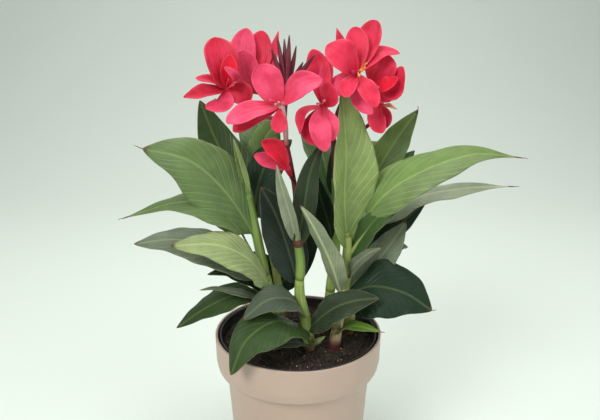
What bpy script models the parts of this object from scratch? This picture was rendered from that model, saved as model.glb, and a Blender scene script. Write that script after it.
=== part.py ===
# A dwarf canna lily in a plain cover pot: leafy stems, two flower spikes and eight blooms.
# Lengths in the tables are millimetres from the middle of the pot's foot, x right, y back, z up.

import math

import bmesh
import bpy
from mathutils import Vector

MM = 0.001
GAP = 0.3

# Driving dimensions of the pots and the soil
POT_HEIGHT = 200.0
RIM_RADIUS = 110.0
BAND_HEIGHT = 40.0
BODY_RADIUS = 95.5
FOOT_RADIUS = 86.0
COVER_WALL = 3.0
COVER_FLOOR = 5.0
GROWER_RISE = -1.0
GROWER_RIM_RADIUS = 104.5
GROWER_FOOT_RADIUS = 58.0
GROWER_WALL = 1.6
DRAIN_RADIUS = 5.0
DRAIN_CIRCLE = 38.0
DRAIN_COUNT = 4
SOIL_LEVEL = 186.0
SOIL_SWELL = 2.2
POT_SIDES = 32
SOIL_RINGS = 4

# Driving dimensions of the plant
STEM_FOOT_RADIUS = 7.5
STEM_TOP_RADIUS = 4.2
STEM_SIDES = 7
HOLE_SIDES = 10
LEAF_THICKNESS = 0.9
PETAL_THICKNESS = 0.8
LEAF_ROWS = 6
LEAF_COLUMNS = 4
NARROW_LEAF_COLUMNS = 2
BROAD_LEAF = 31.0
PETAL_ROWS = 4
PETAL_COLUMNS = 4
NARROW_PETAL_COLUMNS = 2
BROAD_PETAL = 25.0
STALK_HALF_WIDTH = 2.6
SPIKE_RADIUS = 3.0
BRANCH_RADIUS = 2.4
BUD_RADIUS = 3.2
LEAST_HALF_WIDTH = 0.8

# How far out a leaf is widest and how full its end is
LEAF_SHAPES = {
    "broad": (0.78, 0.64),
    "drawn": (0.57, 1.12),
}

# The same for a petal
PETAL_SHAPES = {
    "round": (1.35, 0.55),
    "sharp": (1.1, 0.9),
    "square": (2.3, 0.5),
}

# Colours: base colour, roughness
COVER_CLAY = ((0.50, 0.38, 0.27), 0.45)
GROWER_BLACK = ((0.02, 0.02, 0.022), 0.5)
PEAT = ((0.035, 0.022, 0.014), 0.95)
LEAF_GREEN = ((0.10, 0.22, 0.07), 0.45)
SPIKE_MAROON = ((0.16, 0.03, 0.05), 0.5)
PETAL_CORAL = ((0.82, 0.06, 0.14), 0.5)

# Each stem's route starts at the bottom of its hole in the soil.
# A leaf's route starts inside its stem, and "face" is the way its upper side looks.
STEMS = {
    "stem_flowering": {
        "route": [(17, -28, 153), (15, -27, 190), (9, -23, 228), (2, -17, 258), (3, -13, 300), (-3, -10, 345)],
        "leaves": [
            {"route": [(11, -25, 212), (-26, -66, 244), (-60, -94, 234), (-78, -112, 198)],
             "width": 68, "face": (-0.3, -0.6, 0.75), "fold": 8, "droop": 0.25, "wave": 3},
            {"route": [(7, -21, 232), (-7, -44, 262), (-36, -66, 272), (-66, -80, 252)],
             "width": 44, "face": (-0.1, -0.6, 0.8), "fold": 12, "droop": 0.2, "wave": 2},
            {"route": [(15, -27, 194), (-2, -46, 205), (-18, -58, 209), (-34, -66, 205)],
             "width": 22, "face": (-0.1, -0.4, 0.9), "fold": 14, "droop": 0.1, "wave": 1},
            {"route": [(13, -26, 214), (42, -50, 252), (68, -60, 268), (97, -70, 276)],
             "width": 44, "face": (0.1, -0.6, 0.8), "fold": 10, "droop": 0.2, "wave": 2},
            {"route": [(-1, -13, 272), (-14, -4, 318), (-28, -4, 360), (-46, -10, 398)],
             "width": 56, "face": (0.35, -0.9, 0.25), "fold": 8, "droop": 0.1, "wave": 2},
            {"route": [(0, -14, 322), (7, -21, 372), (15, -19, 420), (30, -10, 455)],
             "width": 32, "face": (0.1, -0.97, 0.2), "fold": 20, "droop": 0.1, "wave": 1},
            {"route": [(-2, -14, 328), (-9, -28, 364), (-18, -36, 400), (-25, -41, 432)],
             "width": 22, "face": (-0.2, -0.95, 0.0), "fold": 34, "droop": 0.0, "wave": 0},
        ],
    },
    "stem_right": {
        "route": [(46, -32, 153), (47, -30, 190), (54, -18, 232), (61, -8, 262), (64, -4, 300), (62, -4, 338)],
        "leaves": [
            {"route": [(49, -27, 206), (62, -52, 230), (76, -70, 238), (98, -86, 240)],
             "width": 20, "face": (0.1, -0.5, 0.9), "fold": 16, "droop": 0.1, "wave": 1},
            {"route": [(60, -9, 252), (93, -34, 276), (131, -50, 274), (163, -62, 256)],
             "width": 84, "face": (-0.05, -0.68, 0.73), "fold": 6, "droop": 0.25, "wave": 4},
            {"route": [(62, -7, 258), (98, -2, 292), (121, 1, 322), (138, 0, 350)],
             "width": 46, "face": (-0.4, -0.8, 0.4), "fold": 14, "droop": 0.2, "wave": 2},
            {"route": [(63, -6, 276), (72, -22, 300), (86, -28, 316), (104, -30, 326)],
             "width": 17, "face": (-0.1, -0.7, 0.7), "fold": 20, "droop": 0.1, "wave": 1},
            {"route": [(57, -9, 252), (41, -30, 306), (20, -41, 354), (2, -40, 384)],
             "width": 30, "face": (0.45, 0.85, 0.3), "fold": 10, "droop": -0.2, "wave": 2},
            {"route": [(64, -5, 300), (90, -20, 352), (115, -27, 378), (143, -34, 393)],
             "width": 34, "face": (-0.2, -0.6, 0.8), "fold": 12, "droop": 0.2, "wave": 2},
            {"route": [(64, -4, 304), (92, -10, 369), (131, -15, 408), (205, -25, 441), (262, -35, 440)],
             "width": 70, "face": (-0.25, -0.55, 0.8), "fold": 10, "droop": 0.2, "wave": 3, "stalk": 0.22,
             "shape": "drawn"},
            {"route": [(63, -4, 318), (58, -9, 380), (58, -14, 445), (51, -14, 518)],
             "width": 92, "face": (0.62, -0.78, 0.1), "fold": 38, "droop": 0.15, "wave": 3},
        ],
    },
    "stem_left": {
        "route": [(-34, 12, 153), (-36, 10, 190), (-40, 0, 260), (-46, -4, 296), (-58, -2, 360), (-67, 2, 400)],
        "leaves": [
            {"route": [(-51, -4, 324), (-85, -25, 392), (-126, -38, 436), (-178, -50, 453)],
             "width": 82, "face": (-0.3, -0.6, 0.75), "fold": 8, "droop": 0.25, "wave": 3, "stalk": 0.1},
            {"route": [(-42, -2, 274), (-78, -29, 356), (-129, -44, 388), (-203, -58, 373)],
             "width": 56, "face": (-0.05, -0.35, 0.93), "fold": 12, "droop": 0.2, "wave": 3, "stalk": 0.33,
             "shape": "drawn"},
            {"route": [(-56, -2, 350), (-84, 28, 404), (-110, 42, 456), (-126, 48, 498)],
             "width": 62, "face": (0.35, -0.9, 0.3), "fold": 14, "droop": 0.1, "wave": 2},
            {"route": [(-57, -2, 356), (-52, 20, 390), (-38, 30, 424), (-8, 38, 449)],
             "width": 58, "face": (-0.25, -0.85, 0.45), "fold": 10, "droop": 0.2, "wave": 3},
            {"route": [(-62, 0, 380), (-68, -2, 410), (-74, -3, 436), (-79, -3, 458)],
             "width": 15, "face": (0.3, -0.95, 0.0), "fold": 40, "droop": 0.0, "wave": 0},
        ],
    },
    "stem_front_left": {
        "route": [(-16, -10, 153), (-17, -11, 190), (-25, -17, 226), (-33, -22, 258), (-38, -26, 278)],
        "leaves": [
            {"route": [(-36, -24, 270), (-90, -34, 318), (-143, -42, 340), (-197, -48, 337)],
             "width": 58, "face": (0.0, -0.45, 0.9), "fold": 8, "droop": 0.2, "wave": 2, "stalk": 0.12},
            {"route": [(-37, -25, 274), (-58, -53, 318), (-92, -78, 346), (-143, -92, 350)],
             "width": 54, "face": (-0.2, -0.6, 0.8), "fold": 10, "droop": 0.25, "wave": 3},
            {"route": [(-32, -21, 254), (-60, -34, 285), (-86, -40, 298), (-111, -44, 296)],
             "width": 30, "face": (-0.1, -0.4, 0.9), "fold": 14, "droop": 0.15, "wave": 2},
            {"route": [(-29, -20, 244), (-70, -46, 271), (-100, -58, 283), (-118, -64, 284)],
             "width": 17, "face": (-0.1, -0.3, 0.95), "fold": 16, "droop": 0.1, "wave": 1},
            {"route": [(-26, -18, 236), (-66, -30, 265), (-108, -52, 258), (-147, -70, 237)],
             "width": 42, "face": (-0.15, -0.45, 0.88), "fold": 12, "droop": 0.2, "wave": 2, "stalk": 0.12},
        ],
    },
    "stem_second_spike": {
        "route": [(34, 26, 153), (36, 26, 190), (43, 24, 240), (50, 22, 318), (47, 20, 402)],
        "leaves": [
            {"route": [(50, 22, 318), (49, 33, 364), (46, 38, 410), (48, 42, 450)],
             "width": 22, "face": (0.0, -1.0, 0.2), "fold": 14, "droop": 0.1, "wave": 1},
            {"route": [(49, 22, 304), (36, 10, 356), (26, 8, 390), (21, 10, 416)],
             "width": 27, "face": (0.2, -0.9, 0.3), "fold": 16, "droop": 0.1, "wave": 1},
            {"route": [(47, 23, 290), (40, 64, 350), (32, 112, 384), (24, 168, 372)],
             "width": 72, "face": (0.0, 0.35, 0.93), "fold": 10, "droop": 0.25, "wave": 3, "stalk": 0.12},
            {"route": [(49, 21, 348), (34, 54, 420), (20, 90, 456), (8, 134, 458)],
             "width": 54, "face": (-0.1, 0.5, 0.85), "fold": 12, "droop": 0.2, "wave": 3, "stalk": 0.1},
        ],
    },
    "stem_back_left": {
        "route": [(-20, 38, 153), (-22, 39, 190), (-32, 44, 280), (-44, 52, 372), (-47, 55, 404)],
        "leaves": [
            {"route": [(-46, 54, 392), (-50, 60, 418), (-42, 63, 450), (-17, 66, 474)],
             "width": 46, "face": (-0.3, -0.8, 0.5), "fold": 10, "droop": 0.2, "wave": 2},
            {"route": [(-37, 47, 318), (-62, 76, 372), (-104, 104, 398), (-160, 132, 372)],
             "width": 74, "face": (-0.35, 0.25, 0.9), "fold": 10, "droop": 0.25, "wave": 4, "stalk": 0.12},
            {"route": [(-24, 40, 214), (-38, 38, 250), (-56, 40, 276), (-84, 44, 288)],
             "width": 50, "face": (0.1, -0.8, 0.6), "fold": 8, "droop": 0.25, "wave": 3, "stalk": 0.1},
            {"route": [(-45, 53, 380), (-52, 86, 440), (-58, 122, 470), (-70, 166, 462)],
             "width": 58, "face": (-0.1, 0.4, 0.9), "fold": 12, "droop": 0.2, "wave": 3, "stalk": 0.1},
            {"route": [(-27, 42, 236), (-6, 37, 288), (8, 36, 330), (14, 38, 376)],
             "width": 54, "face": (-0.1, -0.95, 0.3), "fold": 10, "droop": 0.2, "wave": 3},
        ],
    },
    "stem_back_right": {
        "route": [(68, 14, 153), (69, 15, 190), (74, 22, 280), (78, 28, 354)],
        "leaves": [
            {"route": [(77, 27, 342), (98, 36, 398), (128, 40, 450), (153, 40, 487)],
             "width": 54, "face": (-0.35, -0.72, 0.6), "fold": 12, "droop": 0.2, "wave": 2},
            {"route": [(77, 27, 336), (108, 50, 380), (132, 60, 406), (156, 64, 430)],
             "width": 46, "face": (-0.25, -0.7, 0.7), "fold": 12, "droop": 0.2, "wave": 2},
            {"route": [(73, 20, 266), (116, 26, 318), (146, 30, 348), (172, 32, 374)],
             "width": 32, "face": (-0.3, -0.7, 0.65), "fold": 12, "droop": 0.2, "wave": 2},
            {"route": [(75, 24, 300), (146, 20, 372), (204, 12, 390), (270, 2, 396)],
             "width": 40, "face": (-0.1, -0.4, 0.9), "fold": 10, "droop": 0.2, "wave": 3, "stalk": 0.25,
             "shape": "drawn"},
            {"route": [(76, 25, 322), (110, 68, 366), (146, 106, 382), (198, 138, 358)],
             "width": 70, "face": (0.35, 0.25, 0.9), "fold": 10, "droop": 0.25, "wave": 4, "stalk": 0.1},
            {"route": [(71, 18, 236), (100, 54, 282), (132, 90, 296), (164, 134, 268)],
             "width": 62, "face": (0.3, 0.2, 0.93), "fold": 8, "droop": 0.25, "wave": 3, "stalk": 0.1},
            {"route": [(77, 27, 330), (86, 70, 400), (98, 112, 432), (112, 158, 424)],
             "width": 60, "face": (0.15, 0.4, 0.9), "fold": 12, "droop": 0.2, "wave": 3, "stalk": 0.1},
        ],
    },
}

# A spike is a thin maroon stalk with side branches and unopened buds.
SPIKES = {
    "spike_left": {
        "from": "stem_flowering",
        "stalk": [(-3, -5, 385), (-9, -4, 425), (-14, -4, 452), (-16, -4, 482), (-13, -3, 516)],
        "branches": {
            "bloom_left": [(-16, -4, 480), (-40, -7, 485), (-66, -12, 503)],
            "bloom_back": [(-15, -4, 498), (-28, 6, 502), (-39, 13, 508)],
            "bloom_front": [(-14, -4, 449), (-14, -12, 449), (-14, -20, 453)],
            "bloom_low": [(-5, -4, 405), (-7, -9, 408), (-9, -13, 413)],
        },
        "buds": [(-31, -8, 563), (-24, -2, 577), (-16, 5, 574), (-10, -5, 578), (-2, 3, 566), (6, -10, 548),
                 (19, -38, 557)],
    },
    "spike_right": {
        "from": "stem_second_spike",
        "stalk": [(45, 18, 440), (45, 13, 468), (50, 5, 492), (63, -4, 518)],
        "branches": {
            "bloom_right": [(62, -3, 516), (66, -11, 521), (68, -17, 526)],
            "bloom_centre": [(45, 12, 470), (42, 0, 477), (38, -13, 484)],
            "bloom_far": [(54, 2, 500), (68, 3, 507), (79, 0, 514)],
            "bloom_side": [(45, 17, 446), (66, 12, 458), (86, 4, 472), (94, -5, 484)],
        },
        "buds": [(60, 6, 540), (68, 4, 546), (55, 2, 534)],
    },
}

# A bloom's tube starts at the end of its branch on the spike and ends where its petals spread.
# Each petal is: middle of its route, its tip, width, the way its inner side looks, cup.
BLOOMS = {
    "bloom_left": {
        "tube": [(-85, -12, 518)],
        "petals": [
            ((-88, -22, 546), (-95, -14, 576), 40, (0.35, -0.85, 0.35), 0.35, "round"),
            ((-79, -24, 540), (-77, -26, 557), 20, (0.2, -0.95, 0.2), 0.35, "round"),
            ((-72, -30, 531), (-82, -35, 544), 12, (0.4, -0.7, 0.5), 0.3, "round"),
            ((-100, -24, 528), (-117, -27, 531), 12, (-0.2, -0.7, 0.7), 0.2, "round"),
            ((-105, -30, 516), (-130, -38, 509), 21, (-0.1, -0.75, 0.65), 0.2, "sharp"),
            ((-86, -32, 500), (-105, -40, 496), 24, (-0.1, -0.8, 0.6), 0.2, "round"),
            ((-70, -16, 514), (-57, -20, 502), 28, (0.2, -0.9, 0.3), 0.2, "round"),
        ],
    },
    "bloom_back": {
        "tube": [(-56, 12, 514)],
        "petals": [
            ((-67, 24, 552), (-63, 34, 587), 34, (-0.1, -0.95, 0.25), 0.15, "round"),
            ((-49, 27, 551), (-44, 37, 583), 34, (0.1, -0.95, 0.25), 0.15, "round"),
            ((-63, 5, 536), (-65, 4, 561), 35, (-0.05, -0.92, 0.35), 0.2, "round"),
            ((-34, 26, 547), (-24, 36, 583), 14, (-0.1, -0.95, 0.2), 0.2, "sharp"),
        ],
    },
    "bloom_front": {
        "tube": [(-14, -30, 463), (-15, -39, 480), (-20, -45, 503)],
        "petals": [
            ((-33, -52, 526), (-45, -50, 545), 36, (0.15, -0.9, 0.4), 0.2, "round"),
            ((-50, -60, 497), (-78, -70, 485), 26, (0.1, -0.7, 0.7), 0.2, "round"),
            ((4, -52, 524), (27, -49, 532), 30, (-0.2, -0.85, 0.5), 0.2, "round"),
            ((-48, -53, 490), (-73, -58, 475), 24, (0.1, -0.75, 0.6), 0.2, "round"),
            ((-21, -56, 489), (-20, -63, 473), 19, (0.0, -0.95, 0.3), 0.12, "square"),
        ],
    },
    "bloom_low": {
        "tube": [(-13, -20, 424)],
        "petals": [
            ((-23, -26, 441), (-41, -30, 459), 26, (0.5, -0.75, 0.4), 0.35, "round"),
            ((-32, -29, 433), (-52, -34, 441), 20, (0.1, -0.8, 0.6), 0.25, "round"),
        ],
    },
    "bloom_right": {
        "tube": [(68, -25, 537)],
        "petals": [
            ((51, -34, 554), (33, -32, 568), 36, (0.2, -0.9, 0.3), 0.2, "round"),
            ((54, -10, 559), (45, -2, 586), 14, (0.1, -0.95, 0.25), 0.15, "sharp"),
            ((68, -18, 564), (65, -8, 587), 27, (0.0, -0.95, 0.3), 0.2, "round"),
            ((79, -10, 566), (91, 2, 593), 30, (-0.2, -0.92, 0.3), 0.2, "round"),
            ((95, -14, 557), (118, -10, 556), 21, (-0.1, -0.6, 0.75), 0.2, "round"),
            ((78, -42, 519), (88, -50, 500), 24, (0.1, -0.8, 0.6), 0.15, "round"),
            ((58, -38, 524), (54, -44, 510), 21, (-0.2, -0.8, 0.5), 0.15, "round"),
            ((70, -28, 507), (85, -36, 490), 21, (0.2, -0.85, 0.4), 0.15, "round"),
            ((55, -18, 526), (41, -22, 511), 26, (-0.2, -0.85, 0.5), 0.15, "round"),
        ],
    },
    "bloom_far": {
        "tube": [(88, -4, 522)],
        "petals": [
            ((96, -9, 540), (102, -9, 558), 38, (-0.1, -0.95, 0.2), 0.15, "round"),
            ((113, -16, 516), (122, -20, 543), 27, (-0.35, -0.85, 0.4), 0.25, "round"),
            ((104, -20, 522), (115, -25, 530), 22, (-0.15, -0.75, 0.6), 0.2, "round"),
            ((98, -15, 509), (108, -20, 503), 19, (0.1, -0.8, 0.6), 0.1, "round"),
        ],
    },
    "bloom_centre": {
        "tube": [(28, -28, 501)],
        "petals": [
            ((25, -17, 534), (17, -10, 562), 28, (0.0, -0.93, 0.35), 0.25, "round"),
            ((33, -16, 537), (36, -10, 555), 16, (0.1, -0.95, 0.2), 0.2, "round"),
            ((38, -36, 510), (33, -40, 527), 22, (-0.3, -0.9, 0.2), 0.3, "round"),
            ((7, -38, 493), (2, -44, 469), 15, (-0.6, -0.75, 0.2), 0.2, "sharp"),
            ((24, -46, 476), (32, -55, 451), 26, (0.2, -0.9, 0.35), 0.25, "round"),
            ((39, -40, 480), (39, -44, 461), 16, (0.3, -0.9, 0.1), 0.3, "round"),
            ((13, -32, 472), (19, -36, 455), 19, (-0.1, -0.9, 0.3), 0.15, "round"),
        ],
    },
    "bloom_side": {
        "tube": [(98, -12, 501)],
        "petals": [
            ((91, -20, 485), (99, -25, 467), 23, (0.2, -0.9, 0.2), 0.25, "round"),
            ((103, -14, 487), (102, -17, 471), 17, (-0.1, -0.95, 0.2), 0.25, "round"),
            ((108, -14, 498), (117, -16, 494), 5, (0.1, -0.8, 0.5), 0.1, "sharp"),
        ],
    },
}


def clear_scene():
    """Start from an empty scene."""
    for item in list(bpy.data.objects):
        bpy.data.objects.remove(item, do_unlink=True)


def material(name, finish):
    """A Principled material from a colour and a roughness."""
    colour, roughness = finish
    made = bpy.data.materials.new(name)
    made.use_nodes = True
    shader = made.node_tree.nodes["Principled BSDF"]
    shader.inputs["Base Color"].default_value = (*colour, 1.0)
    shader.inputs["Roughness"].default_value = roughness
    shader.inputs["Metallic"].default_value = 0.0
    return made


def add_object(name, vertices, faces, finish=None):
    """A mesh object from points in millimetres."""
    mesh = bpy.data.meshes.new(name)
    mesh.from_pydata([Vector(p) * MM for p in vertices], [], faces)
    mesh.update()
    if finish:
        mesh.materials.append(finish)
    item = bpy.data.objects.new(name, mesh)
    bpy.context.scene.collection.objects.link(item)
    return item


def curve_point(route, share):
    """The point at a share of the length of a smooth curve through the route."""
    points = [Vector(p) for p in route]
    lengths = [(b - a).length for a, b in zip(points, points[1:])]
    target = min(max(share, 0.0), 1.0) * sum(lengths)
    index = 0
    while index < len(lengths) - 1 and target > lengths[index]:
        target -= lengths[index]
        index += 1
    t = target / lengths[index]
    here, there = points[index], points[index + 1]
    before = points[index - 1] if index > 0 else here * 2 - there
    after = points[index + 2] if index + 2 < len(points) else there * 2 - here
    start = (there - before) * (lengths[index] / ((there - here).length + (here - before).length))
    end = (after - here) * (lengths[index] / ((after - there).length + (there - here).length))
    return (here * (2 * t ** 3 - 3 * t ** 2 + 1) + start * (t ** 3 - 2 * t ** 2 + t)
            + there * (3 * t ** 2 - 2 * t ** 3) + end * (t ** 3 - t ** 2))


def curve_direction(route, share):
    """The unit tangent of the same curve."""
    step = 0.01
    return (curve_point(route, min(share + step, 1)) - curve_point(route, max(share - step, 0))).normalized()


def tube(name, route, radii, sides=STEM_SIDES, rings=6):
    """A closed round tube along a route, with a radius for each share of its length."""
    vertices = []
    reference = Vector((0.3, 1.0, 0.1))
    for row in range(rings + 1):
        share = row / rings
        centre = curve_point(route, share)
        along = curve_direction(route, share)
        side = along.cross(reference).normalized()
        front = side.cross(along)
        radius = radii(share)
        for k in range(sides):
            angle = 2 * math.pi * k / sides
            vertices.append(centre + side * radius * math.cos(angle) + front * radius * math.sin(angle))
    faces = [tuple(reversed(range(sides))), tuple(range(rings * sides, (rings + 1) * sides))]
    for row in range(rings):
        for k in range(sides):
            a, b = row * sides + k, row * sides + (k + 1) % sides
            faces.append((a, b, b + sides, a + sides))
    item = add_object(name, vertices, faces)
    face_outwards(item)
    return item


def face_outwards(item):
    """Turn every face of a closed mesh outwards."""
    work = bmesh.new()
    work.from_mesh(item.data)
    bmesh.ops.triangulate(work, faces=work.faces)
    bmesh.ops.recalc_face_normals(work, faces=work.faces)
    work.to_mesh(item.data)
    work.free()


def leaf_half_width(share, leaf):
    """Half the width of a canna leaf: a stalk, a broad blade and a short drawn tip."""
    stalk = leaf.get("stalk", 0.0)
    widest = leaf["width"] / 2
    if share <= stalk:
        return STALK_HALF_WIDTH
    t = (share - stalk) / (1 - stalk)
    lean, fullness = LEAF_SHAPES[leaf.get("shape", "broad")]
    blade = math.sin(math.pi * t ** lean) ** fullness * (1 - 0.35 * t ** 8)
    return max(STALK_HALF_WIDTH * (1 - t), widest * blade, LEAST_HALF_WIDTH)


def petal_half_width(share, width, shape):
    """Half the width of a petal: a narrow claw, then an end that is round, sharp or square."""
    lean, fullness = PETAL_SHAPES[shape]
    return max(width / 2 * math.sin(math.pi * share ** lean) ** fullness, LEAST_HALF_WIDTH)


def even(share):
    """Rows at even steps."""
    return share


def closer_at_tip(share):
    """Rows that stand closer towards a round tip."""
    return math.sin(math.pi / 2 * share) ** 1.1


def blade(name, route, half_width, face, shape, rows, columns, thickness, spacing=even):
    """A thin closed blade along a route, split into the same triangles on both sides."""
    fold, droop, wave, turns = shape
    grid = []
    level = (Vector(route[-1]) - Vector(route[0])).cross(Vector(face)).normalized()
    for row in range(rows + 1):
        share = spacing(row / rows)
        centre = curve_point(route, share)
        along = curve_direction(route, share)
        side = (level - along * level.dot(along)).normalized()
        up = side.cross(along).normalized()
        half = half_width(share)
        line = []
        for column in range(columns + 1):
            u = 2 * column / columns - 1
            across = u * half * math.cos(math.radians(fold))
            rise = abs(u) * half * math.sin(math.radians(fold)) - droop * half * u * u
            swing = math.sin(2 * math.pi * turns * share + (0.9 if u > 0 else 2.6))
            rise += wave * swing * u * u * math.sin(math.pi * share)
            line.append(centre + side * across + up * rise)
        grid.append(line)
    upper, lower = [], []
    for row in range(rows + 1):
        for column in range(columns + 1):
            ahead = grid[min(row + 1, rows)][column] - grid[max(row - 1, 0)][column]
            aside = grid[row][min(column + 1, columns)] - grid[row][max(column - 1, 0)]
            normal = aside.cross(ahead).normalized() * (thickness / 2)
            upper.append(grid[row][column] + normal)
            lower.append(grid[row][column] - normal)
    width = columns + 1
    count = len(upper)
    faces = []
    for row in range(rows):
        for column in range(columns):
            a = row * width + column
            b, c, d = a + 1, a + width + 1, a + width
            for corners in ((a, b, c), (a, c, d)) if column < columns / 2 else ((a, b, d), (b, c, d)):
                faces.append(corners)
                faces.append(tuple(count + k for k in reversed(corners)))
    rim = [column for column in range(columns)]
    rim += [row * width + columns for row in range(rows)]
    rim += [rows * width + column for column in range(columns, 0, -1)]
    rim += [row * width for row in range(rows, 0, -1)]
    for a, b in zip(rim, rim[1:] + rim[:1]):
        faces.append((b, a, a + count))
        faces.append((b, a + count, b + count))
    item = add_object(name, upper + lower, faces)
    face_outwards(item)
    return item


def leaf(name, spec):
    """One leaf of a stem."""
    shape = (spec["fold"], spec["droop"], spec["wave"], 2.2)
    columns = LEAF_COLUMNS if spec["width"] >= BROAD_LEAF else NARROW_LEAF_COLUMNS
    return blade(name, spec["route"], lambda share: leaf_half_width(share, spec), spec["face"], shape,
                 LEAF_ROWS, columns, LEAF_THICKNESS)


def petal(name, root, spec):
    """One petal of a bloom, rooted in the bloom's tube."""
    middle, tip, width, face, cup, shape = spec
    columns = PETAL_COLUMNS if width >= BROAD_PETAL else NARROW_PETAL_COLUMNS
    return blade(name, [root, middle, tip], lambda share: petal_half_width(share, width, shape), face,
                 (6, -cup, 1.2, 1.6), PETAL_ROWS, columns, PETAL_THICKNESS, closer_at_tip)


def fuse(name, pieces, finish):
    """Join closed pieces into one solid with a single Boolean union."""
    body = pieces[0]
    body.name = name
    group = bpy.data.collections.new(name + "_parts")
    bpy.context.scene.collection.children.link(group)
    for piece in pieces[1:]:
        group.objects.link(piece)
        bpy.context.scene.collection.objects.unlink(piece)
    joint = body.modifiers.new("Join", "BOOLEAN")
    joint.operation = "UNION"
    joint.solver = "EXACT"
    joint.operand_type = "COLLECTION"
    joint.collection = group
    apply_modifiers(body)
    for piece in list(group.objects):
        bpy.data.objects.remove(piece, do_unlink=True)
    bpy.data.collections.remove(group)
    keep_largest_shell(body)
    body.data.name = name
    body.data.materials.clear()
    body.data.materials.append(finish)
    return body


def keep_largest_shell(item):
    """Fill any hollow that the union sealed and drop any loose scrap."""
    work = bmesh.new()
    work.from_mesh(item.data)
    bmesh.ops.triangulate(work, faces=work.faces)
    shells = []
    left = set(work.verts)
    while left:
        shell, front = set(), [left.pop()]
        while front:
            vertex = front.pop()
            shell.add(vertex)
            for edge in vertex.link_edges:
                other = edge.other_vert(vertex)
                if other in left:
                    left.discard(other)
                    front.append(other)
        shells.append(shell)
    shells.sort(key=len)
    for shell in shells[:-1]:
        bmesh.ops.delete(work, geom=list(shell), context="VERTS")
    work.to_mesh(item.data)
    work.free()


def apply_modifiers(item):
    """Keep the mesh that the modifiers make."""
    bpy.context.view_layer.update()
    graph = bpy.context.evaluated_depsgraph_get()
    mesh = bpy.data.meshes.new_from_object(item.evaluated_get(graph))
    item.modifiers.clear()
    item.data = mesh


def smooth(item, angle=40):
    """Shade round faces smooth and keep the real edges."""
    item.data.shade_smooth()
    item.data.set_sharp_from_angle(angle=math.radians(angle))


def turned(name, profile, finish):
    """A solid turned about the pot's axis from a closed profile of radius and height."""
    work = bmesh.new()
    corners = [work.verts.new(Vector((radius, 0.0, height)) * MM) for radius, height in profile]
    edges = [work.edges.new((a, b)) for a, b in zip(corners, corners[1:])]
    bmesh.ops.spin(work, geom=corners + edges, axis=(0, 0, 1), cent=(0, 0, 0),
                   angle=2 * math.pi, steps=POT_SIDES, use_merge=True)
    bmesh.ops.remove_doubles(work, verts=work.verts, dist=0.00001)
    bmesh.ops.triangulate(work, faces=work.faces)
    bmesh.ops.recalc_face_normals(work, faces=work.faces)
    mesh = bpy.data.meshes.new(name)
    work.to_mesh(mesh)
    work.free()
    mesh.materials.append(finish)
    item = bpy.data.objects.new(name, mesh)
    bpy.context.scene.collection.objects.link(item)
    smooth(item)
    return item


def cut(item, cutters):
    """Cut round holes into a solid and remove the cutters."""
    group = bpy.data.collections.new(item.name + "_cutters")
    bpy.context.scene.collection.children.link(group)
    for cutter in cutters:
        group.objects.link(cutter)
        bpy.context.scene.collection.objects.unlink(cutter)
    hole = item.modifiers.new("Holes", "BOOLEAN")
    hole.operation = "DIFFERENCE"
    hole.solver = "EXACT"
    hole.operand_type = "COLLECTION"
    hole.collection = group
    apply_modifiers(item)
    for cutter in list(group.objects):
        bpy.data.objects.remove(cutter, do_unlink=True)
    bpy.data.collections.remove(group)


def cover_pot(finish):
    """The plain beige cover pot: a wide upright band over a narrower tapered body."""
    band_foot = POT_HEIGHT - BAND_HEIGHT
    step_foot = band_foot - 20
    inner_step = BODY_RADIUS - COVER_WALL
    profile = [
        (0, 0), (FOOT_RADIUS - 2, 0), (FOOT_RADIUS, 2), (BODY_RADIUS, step_foot + 4),
        (BODY_RADIUS + 1.5, band_foot - 11), (RIM_RADIUS - 6, band_foot - 6.5),
        (RIM_RADIUS - 2.4, band_foot - 2), (RIM_RADIUS - 0.6, band_foot + 6),
        (RIM_RADIUS, POT_HEIGHT - 1.5), (RIM_RADIUS - 1, POT_HEIGHT),
        (RIM_RADIUS - COVER_WALL + 0.6, POT_HEIGHT),
        (RIM_RADIUS - COVER_WALL - 0.6, band_foot + 2), (RIM_RADIUS - 8.5, band_foot - 3),
        (inner_step + 2, band_foot - 8), (inner_step, step_foot),
        (FOOT_RADIUS - COVER_WALL, COVER_FLOOR), (0, COVER_FLOOR),
    ]
    return turned("cover_pot", profile, finish)


def grower_shape():
    """Heights and radii of the thin grower's pot inside the cover pot."""
    foot = COVER_FLOOR + GAP
    rim = POT_HEIGHT + GROWER_RISE
    return foot, rim


def grower_pot(finish):
    """The thin black grower's pot, with a small rolled rim and drain holes."""
    foot, rim = grower_shape()
    profile = [
        (0, foot), (GROWER_FOOT_RADIUS, foot), (GROWER_RIM_RADIUS - 1.2, rim - 7),
        (GROWER_RIM_RADIUS, rim - 5), (GROWER_RIM_RADIUS, rim - 0.6), (GROWER_RIM_RADIUS - 0.6, rim),
        (GROWER_RIM_RADIUS - 2.2, rim), (GROWER_RIM_RADIUS - GROWER_WALL - 1.2, rim - 7),
        (GROWER_FOOT_RADIUS - GROWER_WALL, foot + GROWER_WALL), (0, foot + GROWER_WALL),
    ]
    pot = turned("grower_pot", profile, finish)
    drains = []
    for k in range(DRAIN_COUNT):
        angle = 2 * math.pi * (k + 0.5) / DRAIN_COUNT
        x, y = DRAIN_CIRCLE * math.cos(angle), DRAIN_CIRCLE * math.sin(angle)
        drains.append(tube("drain", [(x, y, foot - 3), (x, y, foot + 6)], lambda share: DRAIN_RADIUS,
                           sides=8, rings=1))
    cut(pot, drains)
    smooth(pot)
    return pot


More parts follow.
